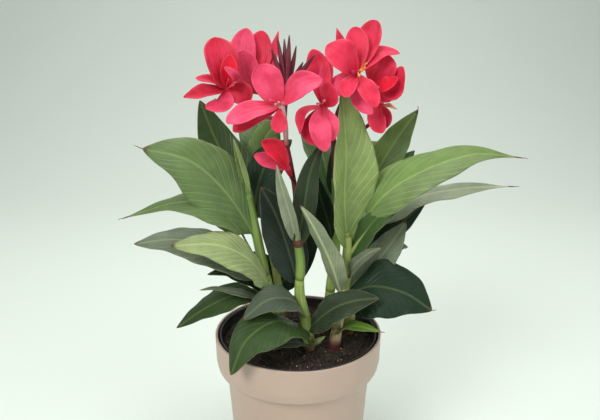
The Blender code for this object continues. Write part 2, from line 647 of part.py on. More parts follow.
def soil(finish):
    """The peat that fills the grower's pot, uneven on top, with a plain hole for each stem."""
    foot, rim = grower_shape()
    slope = (GROWER_RIM_RADIUS - 1.2 - GROWER_FOOT_RADIUS) / (rim - 7 - foot)

    def inner_radius(height):
        return GROWER_FOOT_RADIUS + slope * (height - foot) - GROWER_WALL - 2 * GAP

    low = foot + GROWER_WALL + GAP
    profile = [(0, low), (inner_radius(low), low), (inner_radius(SOIL_LEVEL), SOIL_LEVEL)]
    for ring in range(1, SOIL_RINGS):
        profile.append((inner_radius(SOIL_LEVEL) * (1 - ring / SOIL_RINGS), SOIL_LEVEL))
    profile.append((0, SOIL_LEVEL))
    body = turned("soil", profile, finish)
    for vertex in body.data.vertices:
        x, y, z = vertex.co / MM
        if z > SOIL_LEVEL - 1:
            swell = math.sin(x * 0.09 + 1.0) * math.cos(y * 0.08) + 0.6 * math.sin(x * 0.17 - y * 0.13)
            edge = min(1.0, (inner_radius(SOIL_LEVEL) - math.hypot(x, y)) / 12)
            vertex.co.z += (SOIL_SWELL * swell * max(edge, 0.0)) * MM
    cutters = []
    for stem in STEMS.values():
        route = stem["route"]
        bottom = Vector(route[0])
        top = Vector(route[1])
        along = (top - bottom).normalized()
        start = bottom - along * GAP
        end = top + along * 8
        radius = STEM_FOOT_RADIUS + 2 * GAP
        cutters.append(tube("hole", [start, end], lambda share, r=radius: r, sides=HOLE_SIDES, rings=1))
    cut(body, cutters)
    smooth(body, 50)
    return body


def leafy_stem(name, spec, finish):
    """A stem with its leaves, one grown body."""
    route = spec["route"]

    def radius(share):
        return STEM_FOOT_RADIUS + (STEM_TOP_RADIUS - STEM_FOOT_RADIUS) * share

    pieces = [tube(name, route, radius)]
    for number, leaf_spec in enumerate(spec["leaves"]):
        pieces.append(leaf(f"{name}_leaf_{number}", leaf_spec))
    body = fuse(name, pieces, finish)
    smooth(body, 30)
    return body


def bud(name, foot, tip):
    """An unopened bud: a slim spindle."""
    def radius(share):
        return 0.6 + BUD_RADIUS * math.sin(math.pi * min(share * 0.9 + 0.06, 1)) ** 0.8
    return tube(name, [foot, tip], radius, sides=5, rings=4)


def spike(name, spec, finish):
    """A flower spike with its branches and buds."""
    stem_route = STEMS[spec["from"]]["route"]
    lead = curve_direction(stem_route, 1.0)
    seat = Vector(stem_route[-1])
    route = [seat + lead * GAP, seat + lead * 8] + spec["stalk"]
    pieces = [tube(name, route, lambda share: SPIKE_RADIUS + 0.6 * (1 - share), sides=6, rings=7)]
    for holds, branch in spec["branches"].items():
        pieces.append(tube(f"{name}_{holds}", branch, lambda share: BRANCH_RADIUS, sides=6, rings=3))
    top = Vector(route[-1]) - Vector((0, 0, 3))
    for number, tip in enumerate(spec["buds"]):
        pieces.append(bud(f"{name}_bud_{number}", top, tip))
    body = fuse(name, pieces, finish)
    smooth(body, 40)
    return body


def bloom(name, spec, finish):
    """A bloom: a short tube that widens, with its petals spreading from the end."""
    branch = next(spike["branches"][name] for spike in SPIKES.values() if name in spike["branches"])
    lead = curve_direction(branch, 1.0)
    seat = Vector(branch[-1])
    route = [seat + lead * (1.5 * GAP), seat + lead * 4] + [Vector(p) for p in spec["tube"]]
    root = route[-1]
    along = (root - route[-2]).normalized()
    pieces = [tube(name, route, lambda share: BRANCH_RADIUS + 1.8 * share, sides=6, rings=len(route))]
    for number, petal_spec in enumerate(spec["petals"]):
        pieces.append(petal(f"{name}_petal_{number}", root - along * 2, petal_spec))
    body = fuse(name, pieces, finish)
    smooth(body, 40)
    return body


def build():
    """Build every sub-part of the potted plant."""
    clear_scene()
    cover_pot(material("cover clay", COVER_CLAY))
    grower_pot(material("grower black", GROWER_BLACK))
    soil(material("peat", PEAT))
    green = material("leaf green", LEAF_GREEN)
    for name, spec in STEMS.items():
        leafy_stem(name, spec, green)
    maroon = material("spike maroon", SPIKE_MAROON)
    for name, spec in SPIKES.items():
        spike(name, spec, maroon)
    coral = material("petal coral", PETAL_CORAL)
    for name, spec in BLOOMS.items():
        bloom(name, spec, coral)


build()
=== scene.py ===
import math

import bpy
import numpy as np
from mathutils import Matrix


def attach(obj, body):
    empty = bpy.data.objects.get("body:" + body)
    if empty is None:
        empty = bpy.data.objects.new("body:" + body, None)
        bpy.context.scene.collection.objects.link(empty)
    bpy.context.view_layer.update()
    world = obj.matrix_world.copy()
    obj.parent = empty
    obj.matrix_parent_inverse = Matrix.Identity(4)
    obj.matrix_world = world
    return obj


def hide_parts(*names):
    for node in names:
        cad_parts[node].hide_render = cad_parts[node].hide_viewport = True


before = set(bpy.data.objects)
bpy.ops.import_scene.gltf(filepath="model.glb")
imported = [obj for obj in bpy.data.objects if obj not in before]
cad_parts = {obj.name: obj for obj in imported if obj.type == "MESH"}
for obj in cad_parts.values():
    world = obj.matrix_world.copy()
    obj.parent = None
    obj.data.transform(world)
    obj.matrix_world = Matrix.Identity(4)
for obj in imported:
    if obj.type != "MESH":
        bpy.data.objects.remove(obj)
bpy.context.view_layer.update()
print("frame loaded,", len(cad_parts), "nodes")

# routes below are in millimetres from the middle of the pot's foot, as in the frame
mm = 0.001
tau = 2 * np.pi
seed = np.random.default_rng(17)


viewSettings = {
    "eye": (0.0025, -0.73, 0.575),  # metres
    "pitch": 16.0,  # degrees below level
    "lens": 36.0, "sensor": 36.0,  # mm
}


def addCamera(settings):
    data = bpy.data.cameras.new("plantCamera")
    data.lens = settings["lens"]
    data.sensor_width = settings["sensor"]
    camera = bpy.data.objects.new("plantCamera", data)
    camera.location = settings["eye"]
    camera.rotation_euler = (math.radians(90 - settings["pitch"]), 0, 0)
    bpy.context.scene.collection.objects.link(camera)
    bpy.context.scene.camera = camera


addCamera(viewSettings)


def curvePoints(route, shares):
    # smooth curve through the route's points, read at shares of its length
    points = np.array(route, float)
    steps = np.linalg.norm(np.diff(points, axis=0), axis=1)
    reach = np.concatenate([[0], np.cumsum(steps)])
    target = np.clip(shares, 0, 1) * reach[-1]
    index = np.clip(np.searchsorted(reach, target, side="left") - 1, 0, len(steps) - 1)
    t = ((target - reach[index]) / steps[index])[:, None]
    padded = np.vstack([points[0] * 2 - points[1], points, points[-1] * 2 - points[-2]])
    before, here, there, after = (padded[index + k] for k in range(4))
    stepBefore = np.linalg.norm(here - before, axis=1)
    stepHere = np.linalg.norm(there - here, axis=1)
    stepAfter = np.linalg.norm(after - there, axis=1)
    start = (there - before) * (stepHere / (stepHere + stepBefore))[:, None]
    end = (after - here) * (stepHere / (stepAfter + stepHere))[:, None]
    return (here * (2 * t**3 - 3 * t**2 + 1) + start * (t**3 - 2 * t**2 + t)
            + there * (3 * t**2 - 2 * t**3) + end * (t**3 - t**2))


def unit(v):
    return v / np.maximum(np.linalg.norm(v, axis=-1, keepdims=True), 1e-9)


def curveDirections(route, shares, step=0.01):
    ahead = curvePoints(route, np.minimum(shares + step, 1))
    return unit(ahead - curvePoints(route, np.maximum(shares - step, 0)))


def smoothStep(low, high, x):
    t = np.clip((x - low) / (high - low), 0, 1)
    return t * t * (3 - 2 * t)


def blend(first, second, share):
    return np.array(first) * (1 - share) + np.array(second) * share


def placePiece(name, mesh, nodeName):
    # a finer piece stands for one node of the frame, and all of them ride the one body
    piece = bpy.data.objects.new(name, mesh)
    bpy.context.scene.collection.objects.link(piece)
    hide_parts(nodeName)
    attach(piece, "root")


class Sheaf:
    # gathers the closed solids of one piece, with the values its materials read
    def __init__(self):
        self.points, self.faces, self.slots, self.tints, self.places, self.spans = [], [], [], [], [], []
        self.count = 0

    def add(self, points, faces, slot, tint, place=(0, 0, 0), span=(0, 0, 0)):
        self.points.append(points)
        self.faces.extend([tuple(int(k) + self.count for k in face) for face in faces])
        self.slots.extend([slot] * len(faces))
        for rows, values in ((self.tints, tint), (self.places, place), (self.spans, span)):
            rows.append(np.broadcast_to(values, (len(points), 3)))
        self.count += len(points)

    def build(self, name, materials, nodeName):
        mesh = bpy.data.meshes.new(name)
        mesh.from_pydata((np.vstack(self.points) * mm).tolist(), [], self.faces)
        tint = mesh.color_attributes.new("tint", "FLOAT_COLOR", "POINT")
        rgba = np.ones((self.count, 4), np.float32)
        rgba[:, :3] = np.vstack(self.tints)
        tint.data.foreach_set("color", rgba.ravel())
        for label, values in (("place", self.places), ("span", self.spans)):
            attribute = mesh.attributes.new(label, "FLOAT_VECTOR", "POINT")
            attribute.data.foreach_set("vector", np.vstack(values).astype(np.float32).ravel())
        for material in materials:
            mesh.materials.append(material)
        mesh.polygons.foreach_set("material_index", np.array(self.slots, np.int32))
        mesh.update()
        mesh.shade_smooth()
        placePiece(name, mesh, nodeName)


def sheetFaces(rows, columns):
    # two skins of quads and the rim between them
    width = columns + 1
    count = (rows + 1) * width
    row, column = np.meshgrid(np.arange(rows), np.arange(columns), indexing="ij")
    a = (row * width + column).ravel()
    upper = np.stack([a, a + 1, a + width + 1, a + width], 1)
    lower = np.stack([a, a + width, a + width + 1, a + 1], 1) + count
    rim = list(range(columns)) + [r * width + columns for r in range(rows)]
    rim += [rows * width + c for c in range(columns, 0, -1)] + [r * width for r in range(rows, 0, -1)]
    edge = [(b, a, a + count, b + count) for a, b in zip(rim, rim[1:] + rim[:1])]
    return upper.tolist() + lower.tolist() + edge


def sheetSolid(grid, thickUp, thickDown):
    # a closed thin solid round a grid of points
    normal = unit(np.cross(np.gradient(grid, axis=1), np.gradient(grid, axis=0)))
    upper = grid + normal * thickUp[..., None]
    lower = grid - normal * thickDown[..., None]
    return np.vstack([upper.reshape(-1, 3), lower.reshape(-1, 3)])


def bladeFrame(route, face, shares):
    centre = curvePoints(route, shares)
    along = curveDirections(route, shares)
    level = unit(np.cross(np.subtract(route[-1], route[0]), np.array(face, float)))
    side = unit(level - along * (along @ level)[:, None])
    return centre, side, unit(np.cross(side, along))


def sideWave(u, t, height, turns):
    # the two edges of a blade rise and fall out of step
    phase = np.where(u > 0, 0.9, 2.6)
    return height * np.sin(tau * turns * t + phase) * u * u * np.sin(np.pi * t)


def addSheet(sheaf, blade, rise, across, thicknesses, half, u, t, tint):
    # place holds the share across, the share along and which side; span the way to the midrib and to the edge
    centre, side, up = blade
    grid = centre[:, None] + side[:, None] * across[..., None] + up[:, None] * rise[..., None]
    uu, tt = np.broadcast_arrays(u, t)
    places = [np.stack([uu, tt, np.full_like(uu, under)], -1).reshape(-1, 3) for under in (0.0, 1.0)]
    span = np.stack([np.abs(uu) * half, (1 - np.abs(uu)) * half, np.zeros_like(uu)], -1).reshape(-1, 3)
    points = sheetSolid(grid, *(np.broadcast_to(thick, grid.shape[:2]) for thick in thicknesses))
    faces = sheetFaces(len(t) - 1, u.shape[1] - 1)
    sheaf.add(points, faces, 0, tint, np.vstack(places), np.vstack([span, span]))


def ringFaces(rings, sides):
    # quads between rings of points that follow each other
    faces = []
    for first in range(0, rings * sides, sides):
        for k in range(sides):
            a, b = first + k, first + (k + 1) % sides
            faces.append((a, b, b + sides, a + sides))
    return faces


def tubeFaces(rings, sides):
    ends = [tuple(reversed(range(sides))), tuple(range(rings * sides, (rings + 1) * sides))]
    return ringFaces(rings, sides) + ends


def turnedFaces(rings, sides):
    # a fan closes each end, and its middle point comes after the rings
    low, high, top = (rings + 1) * sides, (rings + 1) * sides + 1, rings * sides
    faces = ringFaces(rings, sides)
    for k in range(sides):
        after = (k + 1) % sides
        faces += [(low, after, k), (high, top + k, top + after)]
    return faces


def ringPoints(radius, height, sides):
    angle = tau * np.arange(sides) / sides
    return np.column_stack([np.cos(angle) * radius, np.sin(angle) * radius, np.full(sides, float(height))])


clearOfEdge = (20.0, 20.0, 0.0)  # a tube has no midrib and no edge near


def tubePoints(route, radii, shares, sides, flute=0.0, flutes=9, turn=0.0):
    along = curveDirections(route, shares)
    side = unit(np.cross(along, np.array([0.3, 1.0, 0.1])))
    front = np.cross(side, along)
    angle = tau * np.arange(sides) / sides
    ring = 1 + flute * np.cos(flutes * angle + turn)
    wave = (np.cos(angle) * ring)[None, :, None] * side[:, None]
    wave = wave + (np.sin(angle) * ring)[None, :, None] * front[:, None]
    return curvePoints(route, shares)[:, None] + wave * np.asarray(radii)[:, None, None]


def addRings(sheaf, points, shares, tints, slot):
    # a closed tube through rings of points, with one colour for each ring
    rings, sides = len(points) - 1, points.shape[1]
    place = np.zeros((len(points) * sides, 3))
    place[:, 0] = np.tile(np.arange(sides) / sides, len(points))
    place[:, 1] = np.repeat(shares, sides)
    tints = np.repeat(np.broadcast_to(tints, (len(points), 3)), sides, axis=0)
    sheaf.add(points.reshape(-1, 3), tubeFaces(rings, sides), slot, tints, place, clearOfEdge)


def addTube(sheaf, route, radius, tint, slot, rings, sides, flute=0.0, flutes=9):
    shares = np.linspace(0, 1, rings + 1)
    points = tubePoints(route, radius(shares), shares, sides, flute, flutes)
    addRings(sheaf, points, shares, tint(shares) if callable(tint) else tint, slot)


# leaves
leafSettings = {
    "rows": 46, "columns": 20,
    "tipCrowd": 0.5,  # how much the rows crowd at the blunt tip
    "stalkHalf": 2.6, "leastHalf": 0.5,  # half widths, mm
    "skin": 0.28,  # half thickness of the blade, mm
    "crease": (0.012, 0.11),  # rounding of the fold along the midrib
    "turns": 2.2,  # waves along each edge
    "ruffle": 0.8, "ruffleTurns": 6.3,
    "pleats": 11, "pleatDepth": 0.55,
    "slant": 0.34,  # how far a side vein runs towards the tip
    "ribHeight": 1.5, "ribWidth": 1.9, "grooveDepth": 0.7,
    "tailRadius": 0.9, "tailTint": (0.12, 0.075, 0.045),  # the dried tip
}

# linear colours of the upper sides, each a leaf's own tone as it is lit, so they hold painted light and
# shade: deep and slate paint the shade in the middle of the plant, lit paints light
leafTonesLitAndShaded = {
    "deep": (0.009, 0.028, 0.011),
    "slate": (0.020, 0.034, 0.023),
    "dusk": (0.036, 0.058, 0.028),
    "dark": (0.038, 0.076, 0.020),
    "moss": (0.050, 0.105, 0.028),
    "mid": (0.110, 0.180, 0.060),
    "fresh": (0.140, 0.230, 0.060),
    "soft": (0.150, 0.225, 0.080),
    "lit": (0.250, 0.350, 0.120),
    "bright": (0.100, 0.210, 0.020),
    "mist": (0.075, 0.104, 0.066),
    "sage": (0.160, 0.205, 0.132),
    "husk": (0.330, 0.390, 0.260),
    "pale": (0.300, 0.390, 0.165),
    "chalk": (0.360, 0.420, 0.260),
}

# how far out a leaf is widest and how full its end is
leafShapes = {"broad": (0.78, 0.64), "drawn": (0.57, 1.12)}


def leaf(route, width, face, tone, fold=10, droop=0.2, wave=2, stalk=0.0, shape="broad",
         otherTone=None, tail=None):
    # face is the way its upper side looks, fold is in degrees, stalk the bare share of its length
    return {"route": route, "width": width, "face": face, "tone": tone, "fold": fold, "droop": droop,
            "wave": wave, "stalk": stalk, "shape": shape, "otherTone": otherTone, "tail": tail}


def leafHalfWidth(shares, spec):
    s = leafSettings
    lean, fullness = leafShapes[spec["shape"]]
    t = np.clip((shares - spec["stalk"]) / (1 - spec["stalk"]), 0, 1)
    blade = np.sin(np.pi * t**lean).clip(0) ** fullness * (1 - 0.35 * t**8)
    least = np.full_like(t, s["leastHalf"])
    return np.maximum.reduce([s["stalkHalf"] * (1 - t), spec["width"] / 2 * blade, least])


def addLeaf(sheaf, spec):
    s = leafSettings
    even = np.linspace(0, 1, s["rows"] + 1)
    shares = even * (1 - s["tipCrowd"]) + np.sin(np.pi / 2 * even) * s["tipCrowd"]
    centre, side, up = bladeFrame(spec["route"], spec["face"], shares)
    half = leafHalfWidth(shares, spec)[:, None]
    u = np.linspace(-1, 1, s["columns"] + 1)[None, :]
    t = shares[:, None]
    fold = math.radians(spec["fold"])
    bend = np.sqrt(u * u + s["crease"][0]) - s["crease"][1]
    rise = bend * half * math.sin(fold) - spec["droop"] * half * u * u
    rise = rise + sideWave(u, t, spec["wave"], s["turns"])
    own = seed.uniform(0, 6.28, 3)
    broad = np.clip(half / 20, 0, 1)
    ruffle = np.sin(tau * s["ruffleTurns"] * t + own[0] + 2 * np.sign(u)) * np.abs(u) ** 4
    rise += s["ruffle"] * broad * ruffle
    # pleats follow the side veins and fade at the midrib and at the edge
    vein = t - s["slant"] * np.abs(u) * (half * 2 / spec["width"])
    crest = np.abs(np.sin(np.pi * s["pleats"] * vein + own[1])) - 0.5
    fade = smoothStep(0.06, 0.3, np.abs(u)) * (1 - smoothStep(0.85, 1, np.abs(u)))
    rise += s["pleatDepth"] * broad * crest * fade
    groove = np.exp(-(u * half / s["ribWidth"]) ** 2) * (1 - t) ** 0.7
    rise -= s["grooveDepth"] * groove * np.clip(half / 8, 0, 1)
    # the tone carries painted light and shade as well as the leaf's own colour
    tint = np.array(leafTonesLitAndShaded[spec["tone"]]) * seed.uniform(0.92, 1.08)
    otherTint = leafTonesLitAndShaded[spec["otherTone"]] if spec["otherTone"] else tint
    tints = blend(tint, otherTint, smoothStep(-0.06, 0.06, np.tile(u.ravel(), len(t)))[:, None])
    addSheet(sheaf, (centre, side, up), rise, u * half * math.cos(fold),
             (s["skin"], s["skin"] + s["ribHeight"] * groove), half, u, t, np.vstack([tints, tints]))
    if spec["tail"]:
        tip, tail = centre[-1], np.array(spec["tail"], float)
        route = [centre[-3], tip + tail * 0.4, tip + tail * 0.75 + up[-1] * 1.2, tip + tail]
        addTube(sheaf, route, lambda shares: s["tailRadius"] * (1 - 0.75 * shares), s["tailTint"], 1, 10, 6)


# stems
stemSettings = {
    "footRadius": 7.5, "topRadius": 4.2,
    "rings": 44, "sides": 20, "flute": 0.035, "flutes": 9,
    "foot": (0.16, 0.055, 0.040), "footFade": (0.14, 0.36),  # reddish at the soil
    "low": (0.34, 0.42, 0.12),
    "high": (0.17, 0.27, 0.065), "highFade": (0.45, 1.0),
    "creamFeet": ("stem_right",), "creamFade": (0.32, 0.46),
    "darkFoot": (0.085, 0.012, 0.014), "creamFoot": (0.56, 0.42, 0.25), "creamRise": (0.22, 0.27),
    "sheathLength": 46.0, "sheathRise": 9.0, "sheathGap": 0.9, "sheathSides": 18,
    "sheathTint": (0.92, 1.0, 0.9),  # times the stem's own colour
    "sheathLip": (0.2, 0.55, 1.0),  # how much the last rings slant with the lip
}


def stemTint(shares, name):
    s = stemSettings
    foot, high, fade = s["foot"], s["high"], s["footFade"]
    if name in s["creamFeet"]:
        foot = blend(s["darkFoot"], s["creamFoot"], smoothStep(*s["creamRise"], shares)[:, None])
        high, fade = s["low"], s["creamFade"]
    lower = blend(foot, s["low"], smoothStep(*fade, shares)[:, None])
    return blend(lower, high, smoothStep(*s["highFade"], shares)[:, None])


def stemRadius(shares):
    s = stemSettings
    return s["footRadius"] + (s["topRadius"] - s["footRadius"]) * shares


def addSheath(sheaf, route, spec, name):
    # the leaf's base wraps the stem below it, with a slanting upper lip
    s = stemSettings
    steps = 200
    path = curvePoints(route, np.linspace(0, 1, steps))
    start = np.array(spec["route"][0], float)
    near = int(np.argmin(np.linalg.norm(path - start, axis=1)))
    length = np.linalg.norm(np.diff(path, axis=0), axis=1).mean()
    low = max(near - int(s["sheathLength"] / length), 24)  # clear of the soil
    high = min(near + 4, steps - 2)
    if high - low < 8:
        return
    shares = np.linspace(low / (steps - 1), high / (steps - 1), 9)
    swell = 0.25 + s["sheathGap"] * np.sin(np.pi * np.linspace(0.04, 0.92, 9)) ** 0.6
    points = tubePoints(route, stemRadius(shares) + swell, shares, s["sheathSides"])
    toLeaf = unit(np.array(spec["route"][1], float) - start)
    ring = unit(points[-1] - points[-1].mean(0))
    lift = curveDirections(route, shares[-1:]) * ((ring @ toLeaf)[:, None] * s["sheathRise"] / 2)
    for row, share in zip((-3, -2, -1), s["sheathLip"]):
        points[row] += lift * share
    addRings(sheaf, points, shares, stemTint(shares, name) * np.array(s["sheathTint"]), 1)


# stems: their route from the soil up, their leaves, and small flaps of torn sheath
stems = {
    "stem_flowering": {
        "route": [(17, -28, 153), (15, -27, 190), (9, -23, 228), (2, -17, 258), (3, -13, 300),
                  (-3, -10, 345)],
        "leaves": [
            leaf([(11, -25, 212), (-26, -66, 244), (-60, -94, 234), (-78, -112, 198)],
                 68, (-0.3, -0.6, 0.75), "dark", fold=8, droop=0.25, wave=3),
            leaf([(7, -21, 232), (-7, -44, 262), (-36, -66, 272), (-66, -80, 252)],
                 44, (-0.1, -0.6, 0.8), "mist", fold=12),
            leaf([(15, -27, 194), (-2, -46, 205), (-18, -58, 209), (-34, -66, 205)],
                 22, (-0.1, -0.4, 0.9), "mist", fold=14, droop=0.1, wave=1),
            leaf([(13, -26, 214), (42, -50, 252), (68, -60, 268), (97, -70, 276)],
                 44, (0.1, -0.6, 0.8), "dusk"),
            leaf([(-1, -13, 272), (-14, -4, 318), (-28, -4, 360), (-46, -10, 398)],
                 56, (0.35, -0.9, 0.25), "slate", fold=8, droop=0.1),
            leaf([(0, -14, 322), (7, -21, 372), (15, -19, 420), (30, -10, 455)],
                 32, (0.1, -0.97, 0.2), "dusk", fold=20, droop=0.1, wave=1),
            leaf([(-2, -14, 328), (-9, -28, 364), (-18, -36, 400), (-25, -41, 432)],
                 22, (-0.2, -0.95, 0.0), "husk", fold=34, droop=0.0, wave=0),
        ],
        "flaps": [
            leaf([(16, -33, 191), (10, -40, 207), (3, -45, 219)],
                 10, (-0.2, -0.9, 0.2), "lit", fold=24, droop=0.0, wave=0.5),
            leaf([(19, -32, 193), (27, -38, 204), (35, -42, 211)],
                 8, (0.2, -0.9, 0.3), "lit", fold=20, droop=0.0, wave=0.5),
        ],
    },
    "stem_right": {
        "route": [(46, -32, 153), (47, -30, 190), (54, -18, 232), (61, -8, 262), (64, -4, 300),
                  (62, -4, 338)],
        "leaves": [
            leaf([(49, -27, 206), (62, -52, 230), (76, -70, 238), (98, -86, 240)],
                 20, (0.1, -0.5, 0.9), "bright", fold=16, droop=0.1, wave=1, tail=(5, -1, -1)),
            leaf([(60, -9, 252), (93, -34, 276), (131, -50, 274), (163, -62, 256)],
                 84, (-0.05, -0.68, 0.73), "deep", fold=6, droop=0.25, wave=4, tail=(5, -2, 2)),
            leaf([(62, -7, 258), (98, -2, 292), (121, 1, 322), (138, 0, 350)],
                 46, (-0.4, -0.8, 0.4), "sage", fold=14),
            leaf([(63, -6, 276), (72, -22, 300), (86, -28, 316), (104, -30, 326)],
                 17, (-0.1, -0.7, 0.7), "sage", fold=20, droop=0.1, wave=1),
            leaf([(57, -9, 252), (41, -30, 306), (20, -41, 354), (2, -40, 384)],
                 30, (0.45, 0.85, 0.3), "chalk", droop=-0.2),
            leaf([(64, -5, 300), (90, -20, 352), (115, -27, 378), (143, -34, 393)],
                 34, (-0.2, -0.6, 0.8), "moss", fold=12),
            leaf([(64, -4, 304), (92, -10, 369), (131, -15, 408), (205, -25, 441), (262, -35, 440)],
                 70, (-0.25, -0.55, 0.8), "fresh", wave=3, stalk=0.22, shape="drawn", otherTone="soft",
                 tail=(8, -1, -2)),
            leaf([(63, -4, 318), (58, -9, 380), (58, -14, 445), (51, -14, 518)],
                 92, (0.62, -0.78, 0.1), "lit", fold=38, droop=0.15, wave=3, tail=(-1, -1, 9)),
        ],
    },
    "stem_left": {
        "route": [(-34, 12, 153), (-36, 10, 190), (-40, 0, 260), (-46, -4, 296), (-58, -2, 360),
                  (-67, 2, 400)],
        "leaves": [
            leaf([(-51, -4, 324), (-85, -25, 392), (-126, -38, 436), (-178, -50, 453)],
                 82, (-0.3, -0.6, 0.75), "mid", fold=8, droop=0.25, wave=3, stalk=0.1, tail=(-9, -2, 4)),
            leaf([(-42, -2, 274), (-78, -29, 356), (-129, -44, 388), (-203, -58, 373)],
                 56, (-0.05, -0.35, 0.93), "mid", fold=12, wave=3, stalk=0.33, shape="drawn",
                 tail=(-7, -1, -3)),
            leaf([(-56, -2, 350), (-84, 28, 404), (-110, 42, 456), (-126, 48, 498)],
                 62, (0.35, -0.9, 0.3), "dark", fold=14, droop=0.1),
            leaf([(-57, -2, 356), (-52, 20, 390), (-38, 30, 424), (-8, 38, 449)],
                 58, (-0.25, -0.85, 0.45), "deep", wave=3),
            leaf([(-62, 0, 380), (-68, -2, 410), (-74, -3, 436), (-79, -3, 458)],
                 15, (0.3, -0.95, 0.0), "lit", fold=40, droop=0.0, wave=0),
        ],
    },
    "stem_front_left": {
        "route": [(-16, -10, 153), (-17, -11, 190), (-25, -17, 226), (-33, -22, 258), (-38, -26, 278)],
        "leaves": [
            leaf([(-36, -24, 270), (-90, -34, 318), (-143, -42, 340), (-197, -48, 337)],
                 58, (0.0, -0.45, 0.9), "sage", fold=8, stalk=0.12),
            leaf([(-37, -25, 274), (-58, -53, 318), (-92, -78, 346), (-143, -92, 350)],
                 54, (-0.2, -0.6, 0.8), "pale", droop=0.25, wave=3),
            leaf([(-32, -21, 254), (-60, -34, 285), (-86, -40, 298), (-111, -44, 296)],
                 30, (-0.1, -0.4, 0.9), "deep", fold=14, droop=0.15),
            leaf([(-29, -20, 244), (-70, -46, 271), (-100, -58, 283), (-118, -64, 284)],
                 17, (-0.1, -0.3, 0.95), "sage", fold=16, droop=0.1, wave=1),
            leaf([(-26, -18, 236), (-66, -30, 265), (-108, -52, 258), (-147, -70, 237)],
                 42, (-0.15, -0.45, 0.88), "dark", fold=12, stalk=0.12),
        ],
    },
    "stem_second_spike": {
        "route": [(34, 26, 153), (36, 26, 190), (43, 24, 240), (50, 22, 318), (47, 20, 402)],
        "leaves": [
            leaf([(50, 22, 318), (49, 33, 364), (46, 38, 410), (48, 42, 450)],
                 22, (0.0, -1.0, 0.2), "deep", fold=14, droop=0.1, wave=1),
            leaf([(49, 22, 304), (36, 10, 356), (26, 8, 390), (21, 10, 416)],
                 27, (0.2, -0.9, 0.3), "deep", fold=16, droop=0.1, wave=1),
            leaf([(47, 23, 290), (40, 64, 350), (32, 112, 384), (24, 168, 372)],
                 72, (0.0, 0.35, 0.93), "moss", droop=0.25, wave=3, stalk=0.12),
            leaf([(49, 21, 348), (34, 54, 420), (20, 90, 456), (8, 134, 458)],
                 54, (-0.1, 0.5, 0.85), "moss", fold=12, wave=3, stalk=0.1),
        ],
    },
    "stem_back_left": {
        "route": [(-20, 38, 153), (-22, 39, 190), (-32, 44, 280), (-44, 52, 372), (-47, 55, 404)],
        "leaves": [
            leaf([(-46, 54, 392), (-50, 60, 418), (-42, 63, 450), (-17, 66, 474)],
                 46, (-0.3, -0.8, 0.5), "fresh"),
            leaf([(-37, 47, 318), (-62, 76, 372), (-104, 104, 398), (-160, 132, 372)],
                 74, (-0.35, 0.25, 0.9), "moss", droop=0.25, wave=4, stalk=0.12),
            leaf([(-24, 40, 214), (-38, 38, 250), (-56, 40, 276), (-84, 44, 288)],
                 50, (0.1, -0.8, 0.6), "deep", fold=8, droop=0.25, wave=3, stalk=0.1),
            leaf([(-45, 53, 380), (-52, 86, 440), (-58, 122, 470), (-70, 166, 462)],
                 58, (-0.1, 0.4, 0.9), "moss", fold=12, wave=3, stalk=0.1),
            # this leaf runs behind the main stem in the dark middle of the plant, and its deep tone is
            # painted shade
            leaf([(-27, 42, 236), (-6, 37, 288), (8, 36, 330), (14, 38, 376)],
                 54, (-0.1, -0.95, 0.3), "deep", wave=3),
        ],
    },
    "stem_back_right": {
        "route": [(68, 14, 153), (69, 15, 190), (74, 22, 280), (78, 28, 354)],
        "leaves": [
            leaf([(77, 27, 342), (98, 36, 398), (128, 40, 450), (153, 40, 487)],
                 54, (-0.35, -0.72, 0.6), "fresh", fold=12, otherTone="mid", tail=(0, 0, 5)),
            leaf([(77, 27, 336), (108, 50, 380), (132, 60, 406), (156, 64, 430)],
                 46, (-0.25, -0.7, 0.7), "dark", fold=12),
            leaf([(73, 20, 266), (116, 26, 318), (146, 30, 348), (172, 32, 374)],
                 32, (-0.3, -0.7, 0.65), "deep", fold=12),
            leaf([(75, 24, 300), (146, 20, 372), (204, 12, 390), (270, 2, 396)],
                 40, (-0.1, -0.4, 0.9), "husk", wave=3, stalk=0.25, shape="drawn", tail=(8, -1, -1)),
            leaf([(76, 25, 322), (110, 68, 366), (146, 106, 382), (198, 138, 358)],
                 70, (0.35, 0.25, 0.9), "moss", droop=0.25, wave=4, stalk=0.1),
            leaf([(71, 18, 236), (100, 54, 282), (132, 90, 296), (164, 134, 268)],
                 62, (0.3, 0.2, 0.93), "moss", fold=8, droop=0.25, wave=3, stalk=0.1),
            leaf([(77, 27, 330), (86, 70, 400), (98, 112, 432), (112, 158, 424)],
                 60, (0.15, 0.4, 0.9), "moss", fold=12, wave=3, stalk=0.1),
        ],
    },
}

# sheaths and rings on the stems: route, radii along it, then colours at the foot and at the end
stemCollars = {
    "stem_flowering": [
        ([(1, -12.4, 321), (-0.3, -12.3, 331)], (5.3, 6.5, 5.6),
         (0.125, 0.034, 0.026), (0.125, 0.034, 0.026)),
        ([(-0.3, -12.3, 330), (-2, -11.8, 345), (-6, -14, 366)], (5.6, 6.6, 7.2, 5.6),
         (0.22, 0.32, 0.10), (0.36, 0.40, 0.27)),
    ],
    "stem_right": [
        ([(60, -8, 254), (63.5, -5.5, 296), (63, -6, 332)], (5.6, 6.8, 7.0, 5.4),
         (0.30, 0.40, 0.11), (0.40, 0.50, 0.15)),
        ([(64, -6, 302), (76, -12.5, 327), (91, -20.6, 352)], (3.2, 2.1, 0.7),
         (0.38, 0.48, 0.15), (0.12, 0.20, 0.06)),
    ],
}


def addCollar(sheaf, route, radii, low, high):
    reach = np.linspace(0, 1, len(radii))
    addTube(sheaf, route, lambda shares: np.interp(shares, reach, radii),
            lambda shares: blend(low, high, shares[:, None]), 1, 20, 20)


